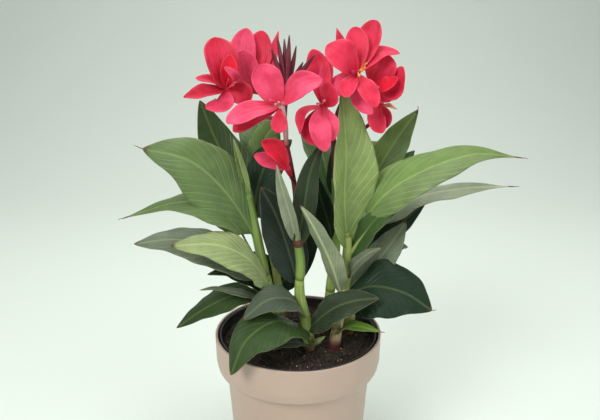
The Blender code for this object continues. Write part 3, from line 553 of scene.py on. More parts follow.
# flower spikes
spikeSettings = {
    "radius": 3.0, "branchRadius": 2.4, "budRadius": 2.7,
    "taper": (0.6, -0.4),  # added to the stalk's radius at its foot and its top
    "gap": 0.3, "lead": 8.0,  # clear of the stem's end, and straight on from it
    "maroon": (0.165, 0.018, 0.036),
    "budTip": (0.105, 0.011, 0.024),
    "budRings": 14, "budSides": 12, "budFlute": 0.16,
}

# spikes: the stem below, the stalk, the branch to each bloom, and the buds' tips
spikes = {
    "spike_left": {
        "from": "stem_flowering",
        "stalk": [(-3, -5, 385), (-9, -4, 425), (-14, -4, 452), (-16, -4, 482), (-13, -3, 516)],
        "branches": {
            "bloom_left": [(-16, -4, 480), (-40, -7, 485), (-66, -12, 503)],
            "bloom_back": [(-15, -4, 498), (-28, 6, 502), (-39, 13, 508)],
            "bloom_front": [(-14, -4, 449), (-14, -12, 449), (-14, -20, 453)],
            "bloom_low": [(-5, -4, 405), (-7, -9, 408), (-9, -13, 413)],
        },
        "buds": [(-31, -8, 563), (-24, -2, 577), (-16, 5, 574), (-10, -5, 578),
                 (-2, 3, 566), (6, -10, 548), (19, -38, 557)],
    },
    "spike_right": {
        "from": "stem_second_spike",
        "stalk": [(45, 18, 440), (45, 13, 468), (50, 5, 492), (63, -4, 518)],
        "branches": {
            "bloom_right": [(62, -3, 516), (66, -11, 521), (68, -17, 526)],
            "bloom_centre": [(45, 12, 470), (42, 0, 477), (38, -13, 484)],
            "bloom_far": [(54, 2, 500), (68, 3, 507), (79, 0, 514)],
            "bloom_side": [(45, 17, 446), (66, 12, 458), (86, 4, 472), (94, -5, 484)],
        },
        "buds": [(60, 6, 540), (68, 4, 546), (55, 2, 534)],
    },
}


def carriedRoute(carrier, gap, lead, points):
    # starts just past the end of the route that carries it, and in the same direction
    along = curveDirections(carrier, np.array([1.0]))[0]
    seat = np.array(carrier[-1], float)
    return [seat + along * gap, seat + along * lead] + [np.array(p, float) for p in points]


def addBranchTube(sheaf, route, low, high, tint, sides=12, rings=14):
    addTube(sheaf, route, lambda shares: low + (high - low) * shares, tint, 0, rings, sides, 0.05, 5)


def addBud(sheaf, foot, tip, turn):
    # three sepals wrap the bud, so it is softly three sided and twists to a point
    s = spikeSettings
    shares = np.linspace(0, 1, s["budRings"] + 1)
    swell = 0.35 + s["budRadius"] * np.sin(np.pi * np.clip(shares * 0.93 + 0.05, 0, 1)) ** 0.9
    points = tubePoints([foot, tip], swell, shares, s["budSides"], s["budFlute"], 3, turn)
    addRings(sheaf, points, shares, blend(s["maroon"], s["budTip"], shares[:, None]), 0)


# petals
petalSettings = {
    "rows": 22, "columns": 16,
    "skin": 0.3, "leastHalf": 0.5,  # half thickness and least half width, mm
    "tubeFlare": 1.8, "tubeGap": 0.45, "tubeLead": 4.0,
    "seat": 2.0,  # how deep the petals start in the tube
    "crease": (0.01, 0.1), "fold": 6.0,
    "sideWave": 1.2, "turns": 1.6,
    "fullWidth": 34.0,  # the width at which the ruffles reach their full height
    "ruffle": 1.5, "crimp": 0.8, "ripple": 0.55, "frill": 0.45,  # from long waves to short ones
    "curl": -3.2,
    "ribHeight": 0.5, "ribWidth": 1.5,
}
# besides the flowers' own reds, pink holds painted light for petals that catch the lamps and deep holds
# painted shade for petals in shadow
petalTonesLitAndShaded = {
    "coral": (0.72, 0.030, 0.078),
    "pink": (0.83, 0.072, 0.160),
    "bright": (0.80, 0.016, 0.045),
    "deep": (0.56, 0.016, 0.046),
    "tendril": (0.50, 0.30, 0.10),
}

# how far out a petal is widest and how full its end is
petalShapes = {"round": (1.35, 0.55), "sharp": (1.1, 0.9), "square": (2.3, 0.5)}

# blooms: the tube's end, then petals as middle, tip, width, inner face, cup, shape and tone
blooms = {
    "bloom_left": {
        "tube": [(-85, -12, 518)],
        "petals": [
            ((-88, -22, 546), (-95, -14, 576), 40, (0.35, -0.85, 0.35), 0.35, "round", "coral"),
            ((-79, -24, 540), (-77, -26, 557), 20, (0.2, -0.95, 0.2), 0.35, "round", "bright"),
            ((-72, -30, 531), (-82, -35, 544), 12, (0.4, -0.7, 0.5), 0.3, "round", "pink"),
            ((-100, -24, 528), (-117, -27, 531), 12, (-0.2, -0.7, 0.7), 0.2, "round", "coral"),
            ((-105, -30, 516), (-130, -38, 509), 21, (-0.1, -0.75, 0.65), 0.2, "sharp", "deep"),
            ((-86, -32, 500), (-105, -40, 496), 24, (-0.1, -0.8, 0.6), 0.2, "round", "pink"),
            ((-70, -16, 514), (-57, -20, 502), 28, (0.2, -0.9, 0.3), 0.2, "round", "deep"),
        ],
    },
    "bloom_back": {
        "tube": [(-56, 12, 514)],
        "petals": [
            ((-67, 24, 552), (-63, 34, 587), 34, (-0.1, -0.95, 0.25), 0.15, "round", "pink"),
            ((-49, 27, 551), (-44, 37, 583), 34, (0.1, -0.95, 0.25), 0.15, "round", "coral"),
            ((-63, 5, 536), (-65, 4, 561), 35, (-0.05, -0.92, 0.35), 0.2, "round", "pink"),
            ((-34, 26, 547), (-24, 36, 583), 14, (-0.1, -0.95, 0.2), 0.2, "sharp", "coral"),
        ],
    },
    "bloom_front": {
        "tube": [(-14, -30, 463), (-15, -39, 480), (-20, -45, 503)],
        "tubeTint": (0.60, 0.38, 0.38),
        "petals": [
            ((-33, -52, 526), (-45, -50, 545), 36, (0.15, -0.9, 0.4), 0.2, "round", "pink"),
            ((-50, -60, 497), (-78, -70, 485), 26, (0.1, -0.7, 0.7), 0.2, "round", "pink"),
            ((4, -52, 524), (27, -49, 532), 30, (-0.2, -0.85, 0.5), 0.2, "round", "pink"),
            ((-48, -53, 490), (-73, -58, 475), 24, (0.1, -0.75, 0.6), 0.2, "round", "deep"),
            ((-21, -56, 489), (-20, -63, 473), 19, (0.0, -0.95, 0.3), 0.12, "square", "coral"),
        ],
    },
    "bloom_low": {
        "tube": [(-13, -20, 424)],
        "petals": [
            ((-23, -26, 441), (-41, -30, 459), 26, (0.5, -0.75, 0.4), 0.35, "round", "bright"),
            ((-32, -29, 433), (-52, -34, 441), 20, (0.1, -0.8, 0.6), 0.25, "round", "pink"),
        ],
    },
    "bloom_right": {
        "tube": [(68, -25, 537)],
        "petals": [
            ((51, -34, 554), (33, -32, 568), 36, (0.2, -0.9, 0.3), 0.2, "round", "coral"),
            ((54, -10, 559), (45, -2, 586), 14, (0.1, -0.95, 0.25), 0.15, "sharp", "coral"),
            ((68, -18, 564), (65, -8, 587), 27, (0.0, -0.95, 0.3), 0.2, "round", "coral"),
            ((79, -10, 566), (91, 2, 593), 30, (-0.2, -0.92, 0.3), 0.2, "round", "coral"),
            ((95, -14, 557), (118, -10, 556), 21, (-0.1, -0.6, 0.75), 0.2, "round", "coral"),
            ((78, -42, 519), (88, -50, 500), 24, (0.1, -0.8, 0.6), 0.15, "round", "coral"),
            ((58, -38, 524), (54, -44, 510), 21, (-0.2, -0.8, 0.5), 0.15, "round", "coral"),
            ((70, -28, 507), (85, -36, 490), 21, (0.2, -0.85, 0.4), 0.15, "round", "pink"),
            ((55, -18, 526), (41, -22, 511), 26, (-0.2, -0.85, 0.5), 0.15, "round", "pink"),
        ],
    },
    "bloom_far": {
        "tube": [(88, -4, 522)],
        "petals": [
            ((96, -9, 540), (102, -9, 558), 38, (-0.1, -0.95, 0.2), 0.15, "round", "coral"),
            ((113, -16, 516), (122, -20, 543), 27, (-0.35, -0.85, 0.4), 0.25, "round", "coral"),
            ((104, -20, 522), (115, -25, 530), 22, (-0.15, -0.75, 0.6), 0.2, "round", "bright"),
            ((98, -15, 509), (108, -20, 503), 19, (0.1, -0.8, 0.6), 0.1, "round", "coral"),
        ],
    },
    "bloom_centre": {
        "tube": [(28, -28, 501)],
        "petals": [
            ((25, -17, 534), (17, -10, 562), 28, (0.0, -0.93, 0.35), 0.25, "round", "coral"),
            ((33, -16, 537), (36, -10, 555), 16, (0.1, -0.95, 0.2), 0.2, "round", "pink"),
            ((38, -36, 510), (33, -40, 527), 22, (-0.3, -0.9, 0.2), 0.3, "round", "coral"),
            ((7, -38, 493), (2, -44, 469), 15, (-0.6, -0.75, 0.2), 0.2, "sharp", "coral"),
            ((24, -46, 476), (32, -55, 451), 26, (0.2, -0.9, 0.35), 0.25, "round", "pink"),
            ((39, -40, 480), (39, -44, 461), 16, (0.3, -0.9, 0.1), 0.3, "round", "pink"),
            ((13, -32, 472), (19, -36, 455), 19, (-0.1, -0.9, 0.3), 0.15, "round", "deep"),
        ],
    },
    "bloom_side": {
        "tube": [(98, -12, 501)],
        "petals": [
            ((91, -20, 485), (99, -25, 467), 23, (0.2, -0.9, 0.2), 0.25, "round", "coral"),
            ((103, -14, 487), (102, -17, 471), 17, (-0.1, -0.95, 0.2), 0.25, "round", "deep"),
            ((108, -14, 498), (117, -16, 494), 5, (0.1, -0.8, 0.5), 0.1, "sharp", "tendril"),
        ],
    },
}


def addPetal(sheaf, root, middle, tip, width, face, cup, shape, tone):
    s = petalSettings
    shares = np.sin(np.pi / 2 * np.linspace(0, 1, s["rows"] + 1)) ** 1.1
    lean, fullness = petalShapes[shape]
    half = width / 2 * np.sin(np.pi * shares**lean).clip(0) ** fullness
    half = np.maximum(half, s["leastHalf"])[:, None]
    u = np.linspace(-1, 1, s["columns"] + 1)[None, :]
    t = shares[:, None]
    own = seed.uniform(0, 6.28, 4)
    fold = math.radians(s["fold"])
    bend = np.sqrt(u * u + s["crease"][0]) - s["crease"][1]
    rise = bend * half * math.sin(fold) + cup * half * u * u
    rise = rise + sideWave(u, t, s["sideWave"], s["turns"])
    size = np.clip(width / s["fullWidth"], 0.3, 1.1)
    middleOut = np.sin(np.pi * t)
    rise += s["ruffle"] * size * np.sin(5.0 * t + 3.1 * u + own[0]) * (u * u) ** 1.5 * t
    rise += s["crimp"] * size * np.sin(13 * t + 2.2 * u + own[1]) * np.abs(u) ** 3 * t
    rise += s["ripple"] * size * np.cos(5 * np.pi * u + own[2]) * (1 - u * u) * middleOut
    rise += s["frill"] * size * np.sin(27 * t + 4 * u + own[3]) * np.abs(u) ** 5 * middleOut
    rise += s["curl"] * size * smoothStep(0.75, 1.0, t) * np.cos(own[3])
    rib = s["ribHeight"] * np.exp(-(u * half / s["ribWidth"]) ** 2) * (1 - t)
    # the tone holds painted light in pink and painted shade in deep
    tint = np.array(petalTonesLitAndShaded[tone]) * seed.uniform(0.9, 1.08)
    addSheet(sheaf, bladeFrame([root, middle, tip], face, shares), rise, u * half * math.cos(fold),
             (s["skin"], s["skin"] + rib), half, u, t, tint)


# flower centres: the reach, radius and colour of each strap-like style, anther and thread
flowerCentres = {
    "bloom_front": [
        ((-5, -13, 1), 1.6, (0.85, 0.35, 0.40)), ((4, -14, 2), 2.0, (0.80, 0.14, 0.20)),
        ((-1, -16, 4), 1.0, (0.85, 0.62, 0.55)), ((-12, -12, 6), 1.5, (0.80, 0.10, 0.18)),
    ],
    "bloom_right": [
        ((4, -14, 3), 1.5, (0.80, 0.30, 0.06)), ((8, -12, 6), 1.2, (0.75, 0.26, 0.05)),
        ((1, -15, -3), 1.3, (0.85, 0.40, 0.15)), ((-7, -12, 1), 2.4, (0.62, 0.02, 0.12)),
        ((10, -10, 11), 1.0, (0.70, 0.25, 0.06)),
    ],
    "bloom_far": [((-4, -10, 6), 1.2, (0.85, 0.45, 0.40)), ((7, -12, -3), 1.1, (0.80, 0.30, 0.30))],
    "bloom_centre": [((2, -14, 6), 1.4, (0.80, 0.16, 0.22)), ((-6, -12, 2), 1.2, (0.75, 0.10, 0.18))],
    "bloom_left": [((6, -13, 12), 1.3, (0.70, 0.05, 0.10)), ((-26, -10, 16), 0.8, (0.45, 0.05, 0.08))],
}


def addCentre(sheaf, root, reach, radius, tint):
    reach = np.array(reach, float)
    route = [root, root + reach * 0.5 + np.array((0.0, -2.0, 1.0)), root + reach]  # arched forward a little
    addTube(sheaf, route, lambda shares: radius * (0.6 + 0.6 * shares**3), tint, 0, 8, 8)


class Finish:
    # one material, with short ways to join the nodes that colour it
    def __init__(self, name, bumpStrength, bumpDistance):
        self.material = bpy.data.materials.new(name)
        self.material.use_nodes = True
        self.tree = self.material.node_tree
        self.shader = self.tree.nodes["Principled BSDF"]
        self.bump = self.node("ShaderNodeBump")
        self.bump.inputs["Strength"].default_value = bumpStrength
        self.bump.inputs["Distance"].default_value = bumpDistance
        self.feed(self.shader.inputs["Normal"], self.bump.outputs["Normal"])

    def node(self, kind, **values):
        made = self.tree.nodes.new(kind)
        for key, value in values.items():
            setattr(made, key, value)
        return made

    def feed(self, socket, value):
        # numbers and colours are set on the socket, anything else is linked to it
        if isinstance(value, (int, float)):
            socket.default_value = value
        elif isinstance(value, tuple):
            socket.default_value = (*value, 1.0)
        else:
            self.tree.links.new(value, socket)

    def calc(self, operation, *values):
        made = self.node("ShaderNodeMath", operation=operation)
        for slot, value in enumerate(values):
            self.feed(made.inputs[slot], value)
        return made.outputs[0]

    def times(self, first, second):
        return self.calc("MULTIPLY", first, second)

    def plus(self, first, second):
        return self.calc("ADD", first, second)

    def stripes(self, value, sharpness):
        return self.calc("POWER", self.calc("MULTIPLY_ADD", self.calc("SINE", value), 0.5, 0.5), sharpness)

    def remap(self, value, low, high, toLow=0.0, toHigh=1.0):
        made = self.node("ShaderNodeMapRange", interpolation_type="SMOOTHSTEP")
        names = ("Value", "From Min", "From Max", "To Min", "To Max")
        for key, number in zip(names, (value, low, high, toLow, toHigh)):
            self.feed(made.inputs[key], number)
        return made.outputs["Result"]

    def mix(self, factor, first, second, kind="MIX"):
        made = self.node("ShaderNodeMix", data_type="RGBA", blend_type=kind)
        for slot, value in ((0, factor), (6, first), (7, second)):
            self.feed(made.inputs[slot], value)
        return made.outputs[2]

    def shaded(self, tint, shade):
        return self.mix(1.0, tint, shade, "MULTIPLY")

    def noise(self, scale, detail=3.0, roughness=0.5, vector=None):
        made = self.node("ShaderNodeTexNoise")
        vector = vector or self.node("ShaderNodeNewGeometry").outputs["Position"]
        names = ("Scale", "Detail", "Roughness", "Vector")
        for key, value in zip(names, (scale, detail, roughness, vector)):
            self.feed(made.inputs[key], value)
        return made.outputs["Fac"]

    def split(self, vector):
        made = self.node("ShaderNodeSeparateXYZ")
        self.feed(made.inputs[0], vector)
        return made.outputs

    def read(self, name, output="Vector"):
        return self.node("ShaderNodeAttribute", attribute_name=name).outputs[output]

    def streaks(self, around, along):
        # noise drawn out along a tube
        place = self.split(self.read("place"))
        stretched = self.node("ShaderNodeCombineXYZ")
        self.feed(stretched.inputs[0], self.times(place[0], around))
        self.feed(stretched.inputs[1], self.times(place[1], along))
        return self.noise(1.0, 3, 0.6, stretched.outputs[0])

    def finished(self, color, height, rough):
        self.feed(self.shader.inputs["Base Color"], color)
        self.feed(self.bump.inputs["Height"], height)
        self.feed(self.shader.inputs["Roughness"], rough)
        return self.material


# in the looks below, bump is its strength and its depth in metres, rough the least and the most roughness,
# shade the darkest and the lightest factor on the tint, and a share says how much of a colour shows
leafLook = {
    "bump": (0.7, 0.0009), "rough": (0.34, 0.5), "underRough": 0.15, "gloss": 0.26,
    "shade": ((0.78, 0.80, 0.82), (1.18, 1.14, 1.1)),
    "veinSlant": 0.34, "veinBend": 0.8, "veinStray": 0.012,
    "fineVeins": 330.0, "fineShare": 0.28,
    "mainVeins": 82.0, "mainShare": 0.55,
    "veinLift": (1.75, 1.55, 1.7),
    "under": (0.215, 0.275, 0.165), "underShare": 0.4,
    "underVein": (0.62, 0.68, 0.60), "underVeinShare": 0.6,
    "ribReach": (0.7, 2.3), "ribShare": 0.75,  # mm from the midrib
    "ribLift": (1.8, 1.7, 1.7), "rib": (0.50, 0.60, 0.24), "ribPale": 0.12,
    "edgeReach": (0.15, 0.9), "edge": (0.34, 0.30, 0.20), "edgeShare": 0.38,  # mm from the edge
    "tipReach": (0.955, 0.99), "tip": (0.13, 0.07, 0.035),
}


def leafMaterial():
    s = leafLook
    f = Finish("leafBlade", *s["bump"])
    tint = f.read("tint", "Color")
    across, along, under = f.split(f.read("place"))
    fromRib, fromEdge = f.split(f.read("span"))[:2]
    blotch = f.noise(38, 4, 0.6)
    # side veins leave the midrib and bend towards the tip
    bent = f.times(f.calc("POWER", f.calc("ABSOLUTE", across), s["veinBend"]), s["veinSlant"])
    run = f.plus(f.calc("SUBTRACT", along, bent), f.times(blotch, s["veinStray"]))
    fine = f.stripes(f.times(run, s["fineVeins"]), 3.0)
    main = f.stripes(f.times(run, s["mainVeins"]), 9.0)
    # upper side, then the paler underside
    shade = f.mix(f.remap(blotch, 0.3, 0.72), *s["shade"])
    veinTint = f.shaded(tint, s["veinLift"])
    upper = f.mix(f.times(main, s["mainShare"]), f.shaded(tint, shade), veinTint)
    upper = f.mix(f.times(fine, s["fineShare"]), upper, veinTint)
    pale = f.mix(s["underShare"], tint, s["under"])
    lower = f.mix(f.times(main, s["underVeinShare"]), f.shaded(pale, shade), f.shaded(pale, s["underVein"]))
    color = f.mix(under, upper, lower)
    # pale midrib, thin pale rim and browned tip
    rib = f.times(f.remap(fromRib, *s["ribReach"], 1.0, 0.0), s["ribShare"])
    edge = f.times(f.remap(fromEdge, *s["edgeReach"], 1.0, 0.0), s["edgeShare"])
    tip = f.times(f.remap(along, *s["tipReach"]), f.remap(blotch, 0.35, 0.55))
    color = f.mix(rib, color, f.mix(s["ribPale"], f.shaded(tint, s["ribLift"]), s["rib"]))
    color = f.mix(tip, f.mix(edge, color, s["edge"]), s["tip"])
    height = f.plus(f.times(main, -0.7), f.times(fine, -0.35))
    height = f.plus(height, f.times(f.noise(900, 2), 0.25))
    rough = f.remap(f.noise(60, 3), 0.3, 0.7, *s["rough"])
    f.shader.inputs["Specular IOR Level"].default_value = s["gloss"]
    return f.finished(color, height, f.plus(rough, f.times(under, s["underRough"])))


stemLook = {
    "bump": (0.4, 0.0005), "rough": (0.36, 0.52),
    "shade": ((0.72, 0.74, 0.68), (1.22, 1.2, 1.15)),
    "streaks": (30.0, 3.0),  # around and along
    "blotch": (0.12, 0.055, 0.045), "blotchShare": 0.45,
}


def stemMaterial():
    s = stemLook
    f = Finish("stemSheath", *s["bump"])
    streak = f.streaks(*s["streaks"])
    blotch = f.noise(70, 3)
    color = f.shaded(f.read("tint", "Color"), f.mix(f.remap(streak, 0.3, 0.7), *s["shade"]))
    color = f.mix(f.remap(blotch, 0.62, 0.8, 0.0, s["blotchShare"]), color, s["blotch"])
    return f.finished(color, streak, f.remap(blotch, 0.3, 0.7, *s["rough"]))


petalLook = {
    "bump": (0.3, 0.0004), "rough": (0.42, 0.56), "gloss": 0.18,
    "glow": 0.12, "glowRadius": (1.0, 0.2, 0.2), "glowScale": 0.002,  # light that passes through
    "shade": ((0.84, 0.62, 0.70), (1.10, 1.35, 1.25)),
    "veins": 40.0, "veinStray": 6.0, "vein": (0.42, 0.006, 0.028), "veinShare": 0.14,
    "base": (0.55, 0.008, 0.022), "baseShare": 0.45,
    # the pale pink edge is a painted highlight along the petals' rims
    "edgeReach": (0.1, 4.0), "edge": (0.90, 0.13, 0.22), "edgeShare": 0.22,
    "under": (0.66, 0.055, 0.11), "underShare": 0.25,
}


def petalMaterial():
    s = petalLook
    f = Finish("petalSatin", *s["bump"])
    across, along, under = f.split(f.read("place"))
    fromEdge = f.split(f.read("span"))[1]
    blotch = f.noise(55, 3)
    vein = f.stripes(f.plus(f.times(across, s["veins"]), f.times(blotch, s["veinStray"])), 2.0)
    base = f.remap(along, 0.0, 0.5, 1.0, 0.0)
    # the edge mask places a painted highlight along the rims
    edge = f.remap(fromEdge, *s["edgeReach"], 1.0, 0.0)
    color = f.shaded(f.read("tint", "Color"), f.mix(f.remap(blotch, 0.3, 0.7), *s["shade"]))
    for key, value in (("vein", vein), ("base", base), ("edge", edge), ("under", under)):
        color = f.mix(f.times(value, s[key + "Share"]), color, s[key])
    f.shader.inputs["Subsurface Weight"].default_value = s["glow"]
    f.shader.inputs["Subsurface Radius"].default_value = s["glowRadius"]
    f.shader.inputs["Subsurface Scale"].default_value = s["glowScale"]
    f.shader.inputs["Specular IOR Level"].default_value = s["gloss"]
    height = f.plus(vein, f.times(f.noise(700, 2), 0.5))
    return f.finished(color, height, f.remap(blotch, 0.3, 0.7, *s["rough"]))


spikeLook = {
    "bump": (0.4, 0.0004), "rough": (0.4, 0.58),
    "shade": ((0.6, 0.55, 0.6), (1.5, 1.5, 1.4)),
    "streaks": (16.0, 2.5),
    "waxDust": (0.34, 0.22, 0.27), "dustShare": 0.10,
}


def spikeMaterial():
    s = spikeLook
    f = Finish("spikeMaroon", *s["bump"])
    streak = f.streaks(*s["streaks"])
    color = f.shaded(f.read("tint", "Color"), f.mix(f.remap(streak, 0.3, 0.7), *s["shade"]))
    color = f.mix(f.remap(f.noise(120, 3), 0.5, 0.75, 0.0, s["dustShare"]), color, s["waxDust"])
    return f.finished(color, streak, f.remap(streak, 0.3, 0.7, *s["rough"]))


leafSkin, stemSkin, petalSkin, spikeSkin = leafMaterial(), stemMaterial(), petalMaterial(), spikeMaterial()


def buildStems():
    s = stemSettings
    for name, spec in stems.items():
        sheaf = Sheaf()
        addTube(sheaf, spec["route"], stemRadius, lambda shares: stemTint(shares, name), 1,
                s["rings"], s["sides"], s["flute"], s["flutes"])
        for collar in stemCollars.get(name, []):
            addCollar(sheaf, *collar)
        for blade in spec["leaves"]:
            addLeaf(sheaf, blade)
            addSheath(sheaf, spec["route"], blade, name)
        for flap in spec.get("flaps", []):
            addLeaf(sheaf, flap)
        sheaf.build(name + "_foliage", [leafSkin, stemSkin], name)
    print("foliage built")


def buildSpikes():
    s = spikeSettings
    for name, spec in spikes.items():
        sheaf = Sheaf()
        route = carriedRoute(stems[spec["from"]]["route"], s["gap"], s["lead"], spec["stalk"])
        low, high = (s["radius"] + change for change in s["taper"])
        addBranchTube(sheaf, route, low, high, s["maroon"], 14, 40)
        for branch in spec["branches"].values():
            addBranchTube(sheaf, branch, s["branchRadius"], s["branchRadius"], s["maroon"])
        top = route[-1] - np.array((0, 0, 3.0))
        for number, tip in enumerate(spec["buds"]):
            addBud(sheaf, top, np.array(tip, float), number)
        sheaf.build(name + "_stalk", [spikeSkin], name)
    print("spikes built")


def buildBlooms():
    s = petalSettings
    branches = {name: route for spike in spikes.values() for name, route in spike["branches"].items()}
    radius = spikeSettings["branchRadius"]
    for name, spec in blooms.items():
        sheaf = Sheaf()
        route = carriedRoute(branches[name], s["tubeGap"], s["tubeLead"], spec["tube"])
        root = route[-1]
        tint = spec.get("tubeTint", petalTonesLitAndShaded["deep"])
        addBranchTube(sheaf, route, radius, radius + s["tubeFlare"], tint)
        for petal in spec["petals"]:
            addPetal(sheaf, root - unit(root - route[-2]) * s["seat"], *petal)
        for part in flowerCentres.get(name, []):
            addCentre(sheaf, root, *part)
        sheaf.build(name + "_petals", [petalSkin, spikeSkin], name)
    print("blooms built")


buildStems()
buildSpikes()
buildBlooms()

# pots
potSettings = {
    "height": 200.0, "rimRadius": 110.0, "bandFoot": 160.0, "bodyRadius": 95.5, "footRadius": 86.0,
    "wall": 3.0, "floor": 5.0, "sides": 160,
    "growerRise": -1.0, "growerRim": 104.5, "growerFoot": 58.0, "growerWall": 1.6, "gap": 0.3,
    "sharpEdge": 50.0,  # degrees
}
coverLook = {
    "bump": (0.25, 0.0003), "rough": (0.38, 0.5),
    "beige": ((0.480, 0.355, 0.285), (0.515, 0.385, 0.312)),
    "splash": (0.20, 0.13, 0.09), "splashShare": 0.5, "splashHeight": (0.185, 0.2),  # metres
    "scuff": (0.70, 0.58, 0.48), "scuffShare": 0.18,
}
growerLook = {
    "bump": (0.4, 0.0003), "rough": (0.4, 0.65),
    "black": (0.014, 0.014, 0.015), "dust": (0.075, 0.055, 0.042), "dustShare": 0.6,
}


def coverMaterial():
    s = coverLook
    f = Finish("coverPlastic", *s["bump"])
    cloud = f.noise(9, 4, 0.55)
    height = f.split(f.node("ShaderNodeNewGeometry").outputs["Position"])[2]
    splash = f.times(f.remap(height, *s["splashHeight"]), f.remap(f.noise(240, 4, 0.7), 0.58, 0.7))
    scuff = f.remap(f.noise(420, 3, 0.75), 0.68, 0.8, 0.0, s["scuffShare"])
    color = f.mix(f.remap(cloud, 0.3, 0.7), *s["beige"])
    color = f.mix(f.times(splash, s["splashShare"]), color, s["splash"])
    color = f.mix(scuff, color, s["scuff"])
    return f.finished(color, f.noise(1400, 2, 0.5), f.remap(cloud, 0.3, 0.7, *s["rough"]))


def growerMaterial():
    s = growerLook
    f = Finish("growerPlastic", *s["bump"])
    dust = f.noise(160, 4, 0.7)
    color = f.mix(f.remap(dust, 0.45, 0.75, 0.0, s["dustShare"]), s["black"], s["dust"])
    return f.finished(color, f.noise(900, 2), f.remap(dust, 0.3, 0.7, *s["rough"]))


def roundedProfile(corners, steps=6):
    # corners are radius, height and the rounding radius of a turned outline
    out = []
    for i, (r, z, rounding) in enumerate(corners):
        here = np.array((r, z), float)
        if rounding <= 0 or i in (0, len(corners) - 1):
            out.append(here)
            continue
        before = np.array(corners[i - 1][:2], float) - here
        after = np.array(corners[i + 1][:2], float) - here
        half = math.acos(float(np.clip(unit(before) @ unit(after), -1, 1))) / 2
        cut = min(rounding / math.tan(half), np.linalg.norm(before) * 0.49, np.linalg.norm(after) * 0.49)
        start, end = here + unit(before) * cut, here + unit(after) * cut
        for t in (k / steps for k in range(steps + 1)):
            out.append(start * (1 - t) ** 2 + here * 2 * t * (1 - t) + end * t * t)
    return np.array(out)


def turnedPiece(name, corners, material, nodeName):
    sides = potSettings["sides"]
    profile = roundedProfile(corners)
    rings = [ringPoints(r, z, sides) for r, z in profile[1:-1]]
    ends = np.array([[0, 0, profile[0][1]], [0, 0, profile[-1][1]]])
    mesh = bpy.data.meshes.new(name)
    mesh.from_pydata((np.vstack(rings + [ends]) * mm).tolist(), [], turnedFaces(len(rings) - 1, sides))
    mesh.materials.append(material)
    mesh.update()
    mesh.shade_smooth()
    mesh.set_sharp_from_angle(angle=math.radians(potSettings["sharpEdge"]))
    placePiece(name, mesh, nodeName)


def buildPots():
    s = potSettings
    rim, top = s["rimRadius"], s["height"]
    body, foot, wall = s["bodyRadius"], s["footRadius"], s["wall"]
    band = s["bandFoot"]
    turnedPiece("coverPotShell", [
        (0, 0, 0), (foot - 2, 0, 0), (foot, 2, 1.5), (body + 0.3, band - 13.5, 1.2),
        (rim - 2.8, band - 5.4, 8.5), (rim - 0.6, band + 6, 10), (rim, top, 1.1), (rim - wall, top, 1.1),
        (rim - wall - 0.6, band + 2, 3), (body - wall + 2, band - 8, 4), (body - wall, band - 20, 3),
        (foot - wall, s["floor"], 4), (0, s["floor"], 0),
    ], coverMaterial(), "cover_pot")
    low, high = s["floor"] + s["gap"], top + s["growerRise"]
    rim, foot, wall = s["growerRim"], s["growerFoot"], s["growerWall"]
    turnedPiece("growerPotShell", [
        (0, low, 0), (foot, low, 2), (rim - 1.2, high - 7, 1), (rim, high - 5, 0.5),
        (rim, high, 1.0), (rim - 2.4, high, 1.0), (rim - wall - 1.2, high - 7, 1),
        (foot - wall, low + wall, 1), (0, low + wall, 0),
    ], growerMaterial(), "grower_pot")
    print("pots built")


# soil
soilSettings = {
    "level": 186.0, "swell": 2.2, "grain": 0.28, "radius": 99.5, "low": 7.2, "lowRadius": 53.0,
    "rings": 60, "sides": 150,
    "crumbs": 1500, "crumbSize": (0.7, 2.4), "crumbShade": (0.7, 1.9),
    "flecks": 90, "fleckSize": (0.5, 1.1),
    "fibres": 150, "fibreReach": (3, 9),
    "peat": (0.026, 0.018, 0.012), "fibre": (0.17, 0.10, 0.055), "fleck": (0.55, 0.50, 0.42),
}
soilLook = {
    "bump": (0.9, 0.0015), "rough": (0.85, 1.0),
    "shade": ((0.45, 0.45, 0.45), (1.7, 1.6, 1.5)),
    "speck": (0.16, 0.10, 0.06), "speckShare": 0.6,
}


def soilMaterial():
    s = soilLook
    f = Finish("peat", *s["bump"])
    clump = f.noise(90, 5, 0.7)
    speck = f.noise(520, 3, 0.7)
    color = f.shaded(f.read("tint", "Color"), f.mix(f.remap(clump, 0.3, 0.7), *s["shade"]))
    color = f.mix(f.remap(speck, 0.66, 0.74, 0.0, s["speckShare"]), color, s["speck"])
    return f.finished(color, f.plus(clump, f.times(speck, 0.6)), f.remap(clump, 0.3, 0.7, *s["rough"]))


def soilHeight(x, y):
    s = soilSettings
    swell = np.sin(x * 0.09 + 1.0) * np.cos(y * 0.08) + 0.6 * np.sin(x * 0.17 - y * 0.13)
    small = 0.35 * np.sin(x * 0.9 + 2 * np.sin(y * 0.5)) * np.cos(y * 0.8 + x * 0.3)
    return s["level"] + s["swell"] * swell + small


def soilSpot(inset):
    # spots spread evenly over the soil, clear of the pot by the inset
    reach = (soilSettings["radius"] - inset) * math.sqrt(seed.uniform(0, 1))
    angle = seed.uniform(0, tau)
    return reach * math.cos(angle), reach * math.sin(angle)


# a lump with twelve corners
golden = (1 + 5**0.5) / 2
lumpCorners = np.array([(-1, golden, 0), (1, golden, 0), (-1, -golden, 0), (1, -golden, 0),
                        (0, -1, golden), (0, 1, golden), (0, -1, -golden), (0, 1, -golden),
                        (golden, 0, -1), (golden, 0, 1), (-golden, 0, -1), (-golden, 0, 1)], float) / 1.9
lumpFaces = [(0, 11, 5), (0, 5, 1), (0, 1, 7), (0, 7, 10), (0, 10, 11), (1, 5, 9), (5, 11, 4), (11, 10, 2),
             (10, 7, 6), (7, 1, 8), (3, 9, 4), (3, 4, 2), (3, 2, 6), (3, 6, 8), (3, 8, 9), (4, 9, 5),
             (2, 4, 11), (6, 2, 10), (8, 6, 7), (9, 8, 1)]


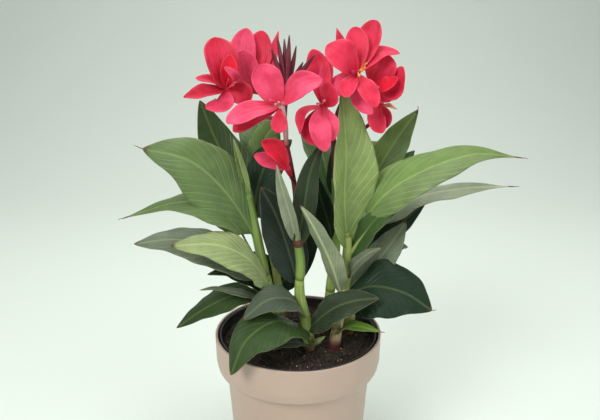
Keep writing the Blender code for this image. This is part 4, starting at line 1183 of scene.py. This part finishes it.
def addCrumb(sheaf, x, y, rise, size, tint):
    rough = seed.uniform(0.7, 1.3, (12, 1)) * seed.uniform(0.6, 1.2, 3)
    sheaf.add(np.array((x, y, soilHeight(x, y) + rise)) + lumpCorners * rough * size, lumpFaces, 0, tint)


def addFibre(sheaf):
    x, y = soilSpot(12)
    turn = seed.uniform(0, tau)
    reach = seed.uniform(*soilSettings["fibreReach"])
    dx, dy = reach * math.cos(turn), reach * math.sin(turn)
    height = soilHeight(x, y)
    route = [(x, y, height + 0.3), (x + dx / 2, y + dy / 2, height + 1.8),
             (x + dx, y + dy, soilHeight(x + dx, y + dy) + 0.2)]
    addTube(sheaf, route, lambda shares: 0.35 - 0.2 * shares, soilSettings["fibre"], 0, 4, 4)


def buildSoil():
    s = soilSettings
    sheaf = Sheaf()
    rings, sides = s["rings"], s["sides"]
    rows = [ringPoints(s["lowRadius"], s["low"], sides)]
    for radius in s["radius"] * (1 - np.arange(rings) / rings):
        row = ringPoints(radius, 0, sides)
        row[:, 2] = soilHeight(row[:, 0], row[:, 1]) + seed.normal(0, s["grain"], sides)
        rows.append(row)
    ends = np.array([[0, 0, s["low"]], [0, 0, soilHeight(0, 0)]])
    sheaf.add(np.vstack(rows + [ends]), turnedFaces(rings, sides), 0, s["peat"])
    for _ in range(s["crumbs"]):
        x, y = soilSpot(3)
        size = seed.uniform(*s["crumbSize"])
        addCrumb(sheaf, x, y, size * 0.3, size, np.array(s["peat"]) * seed.uniform(*s["crumbShade"]))
    for _ in range(s["flecks"]):
        x, y = soilSpot(4)
        addCrumb(sheaf, x, y, 0.7, seed.uniform(*s["fleckSize"]), s["fleck"])
    for _ in range(s["fibres"]):
        addFibre(sheaf)
    sheaf.build("peatSurface", [soilMaterial()], "soil")
    print("soil built")


buildPots()
buildSoil()


# stage and light, in metres
stageSettings = {
    "paper": (0.68, 0.74, 0.68), "halfWidth": 6.0, "front": -4.0, "sweepStart": 1.3, "sweepRadius": 2.4,
    "top": 4.5, "drop": 0.0005,
    "world": (0.84, 0.88, 0.83), "worldStrength": 0.40,
    "lamps": [
        # name, place, what it faces, size, watts
        ("keySoftbox", (-1.2, -1.7, 1.9), (0.0, 0.0, 0.32), 1.2, 42.0),
        ("fillSoftbox", (1.7, -1.2, 1.1), (0.0, 0.0, 0.32), 1.6, 15.0),
        ("topSoftbox", (0.15, 0.35, 2.2), (0.0, 0.0, 0.32), 1.3, 24.0),
        ("paperSoftbox", (0.0, 1.1, 2.5), (0.0, 3.0, 0.4), 2.4, 20.0),
    ],
}


def paperMaterial():
    paper = stageSettings["paper"]
    f = Finish("studioPaper", 0.05, 0.0002)
    color = f.mix(f.noise(1.5, 2), paper, tuple(c * 1.03 for c in paper))
    return f.finished(color, f.noise(300, 2), 0.7)


def addPaper():
    # pale paper lies flat and sweeps up behind the plant
    s = stageSettings
    start, radius = s["sweepStart"], s["sweepRadius"]
    line = [(s["front"], 0.0), (start, 0.0)]
    for turn in np.linspace(0, math.pi / 2, 25)[1:]:
        line.append((start + radius * math.sin(turn), radius - radius * math.cos(turn)))
    line.append((start + radius, s["top"]))
    points = [(x, y, z - s["drop"]) for y, z in line for x in (-s["halfWidth"], s["halfWidth"])]
    faces = [(2 * k, 2 * k + 1, 2 * k + 3, 2 * k + 2) for k in range(len(line) - 1)]
    mesh = bpy.data.meshes.new("studioPaper")
    mesh.from_pydata(points, [], faces)
    mesh.shade_smooth()
    mesh.materials.append(paperMaterial())
    floor = bpy.data.objects.new("studioPaper", mesh)
    bpy.context.scene.collection.objects.link(floor)


def addLamp(name, place, aim, size, watts):
    data = bpy.data.lights.new(name, "AREA")
    data.shape = "DISK"
    data.size = size
    data.energy = watts
    lamp = bpy.data.objects.new(name, data)
    lamp.location = place
    away = np.subtract(place, aim)
    tilt = math.acos(away[2] / np.linalg.norm(away))
    lamp.rotation_euler = (tilt, 0, math.atan2(away[1], away[0]) + math.pi / 2)
    bpy.context.scene.collection.objects.link(lamp)


def buildStage():
    s = stageSettings
    addPaper()
    world = bpy.data.worlds.new("studioWorld")
    bpy.context.scene.world = world
    world.use_nodes = True
    sky = world.node_tree.nodes["Background"]
    sky.inputs["Color"].default_value = (*s["world"], 1.0)
    sky.inputs["Strength"].default_value = s["worldStrength"]
    bpy.context.scene.view_settings.view_transform = "Standard"
    for lamp in s["lamps"]:
        addLamp(*lamp)


buildStage()
print("stage built")
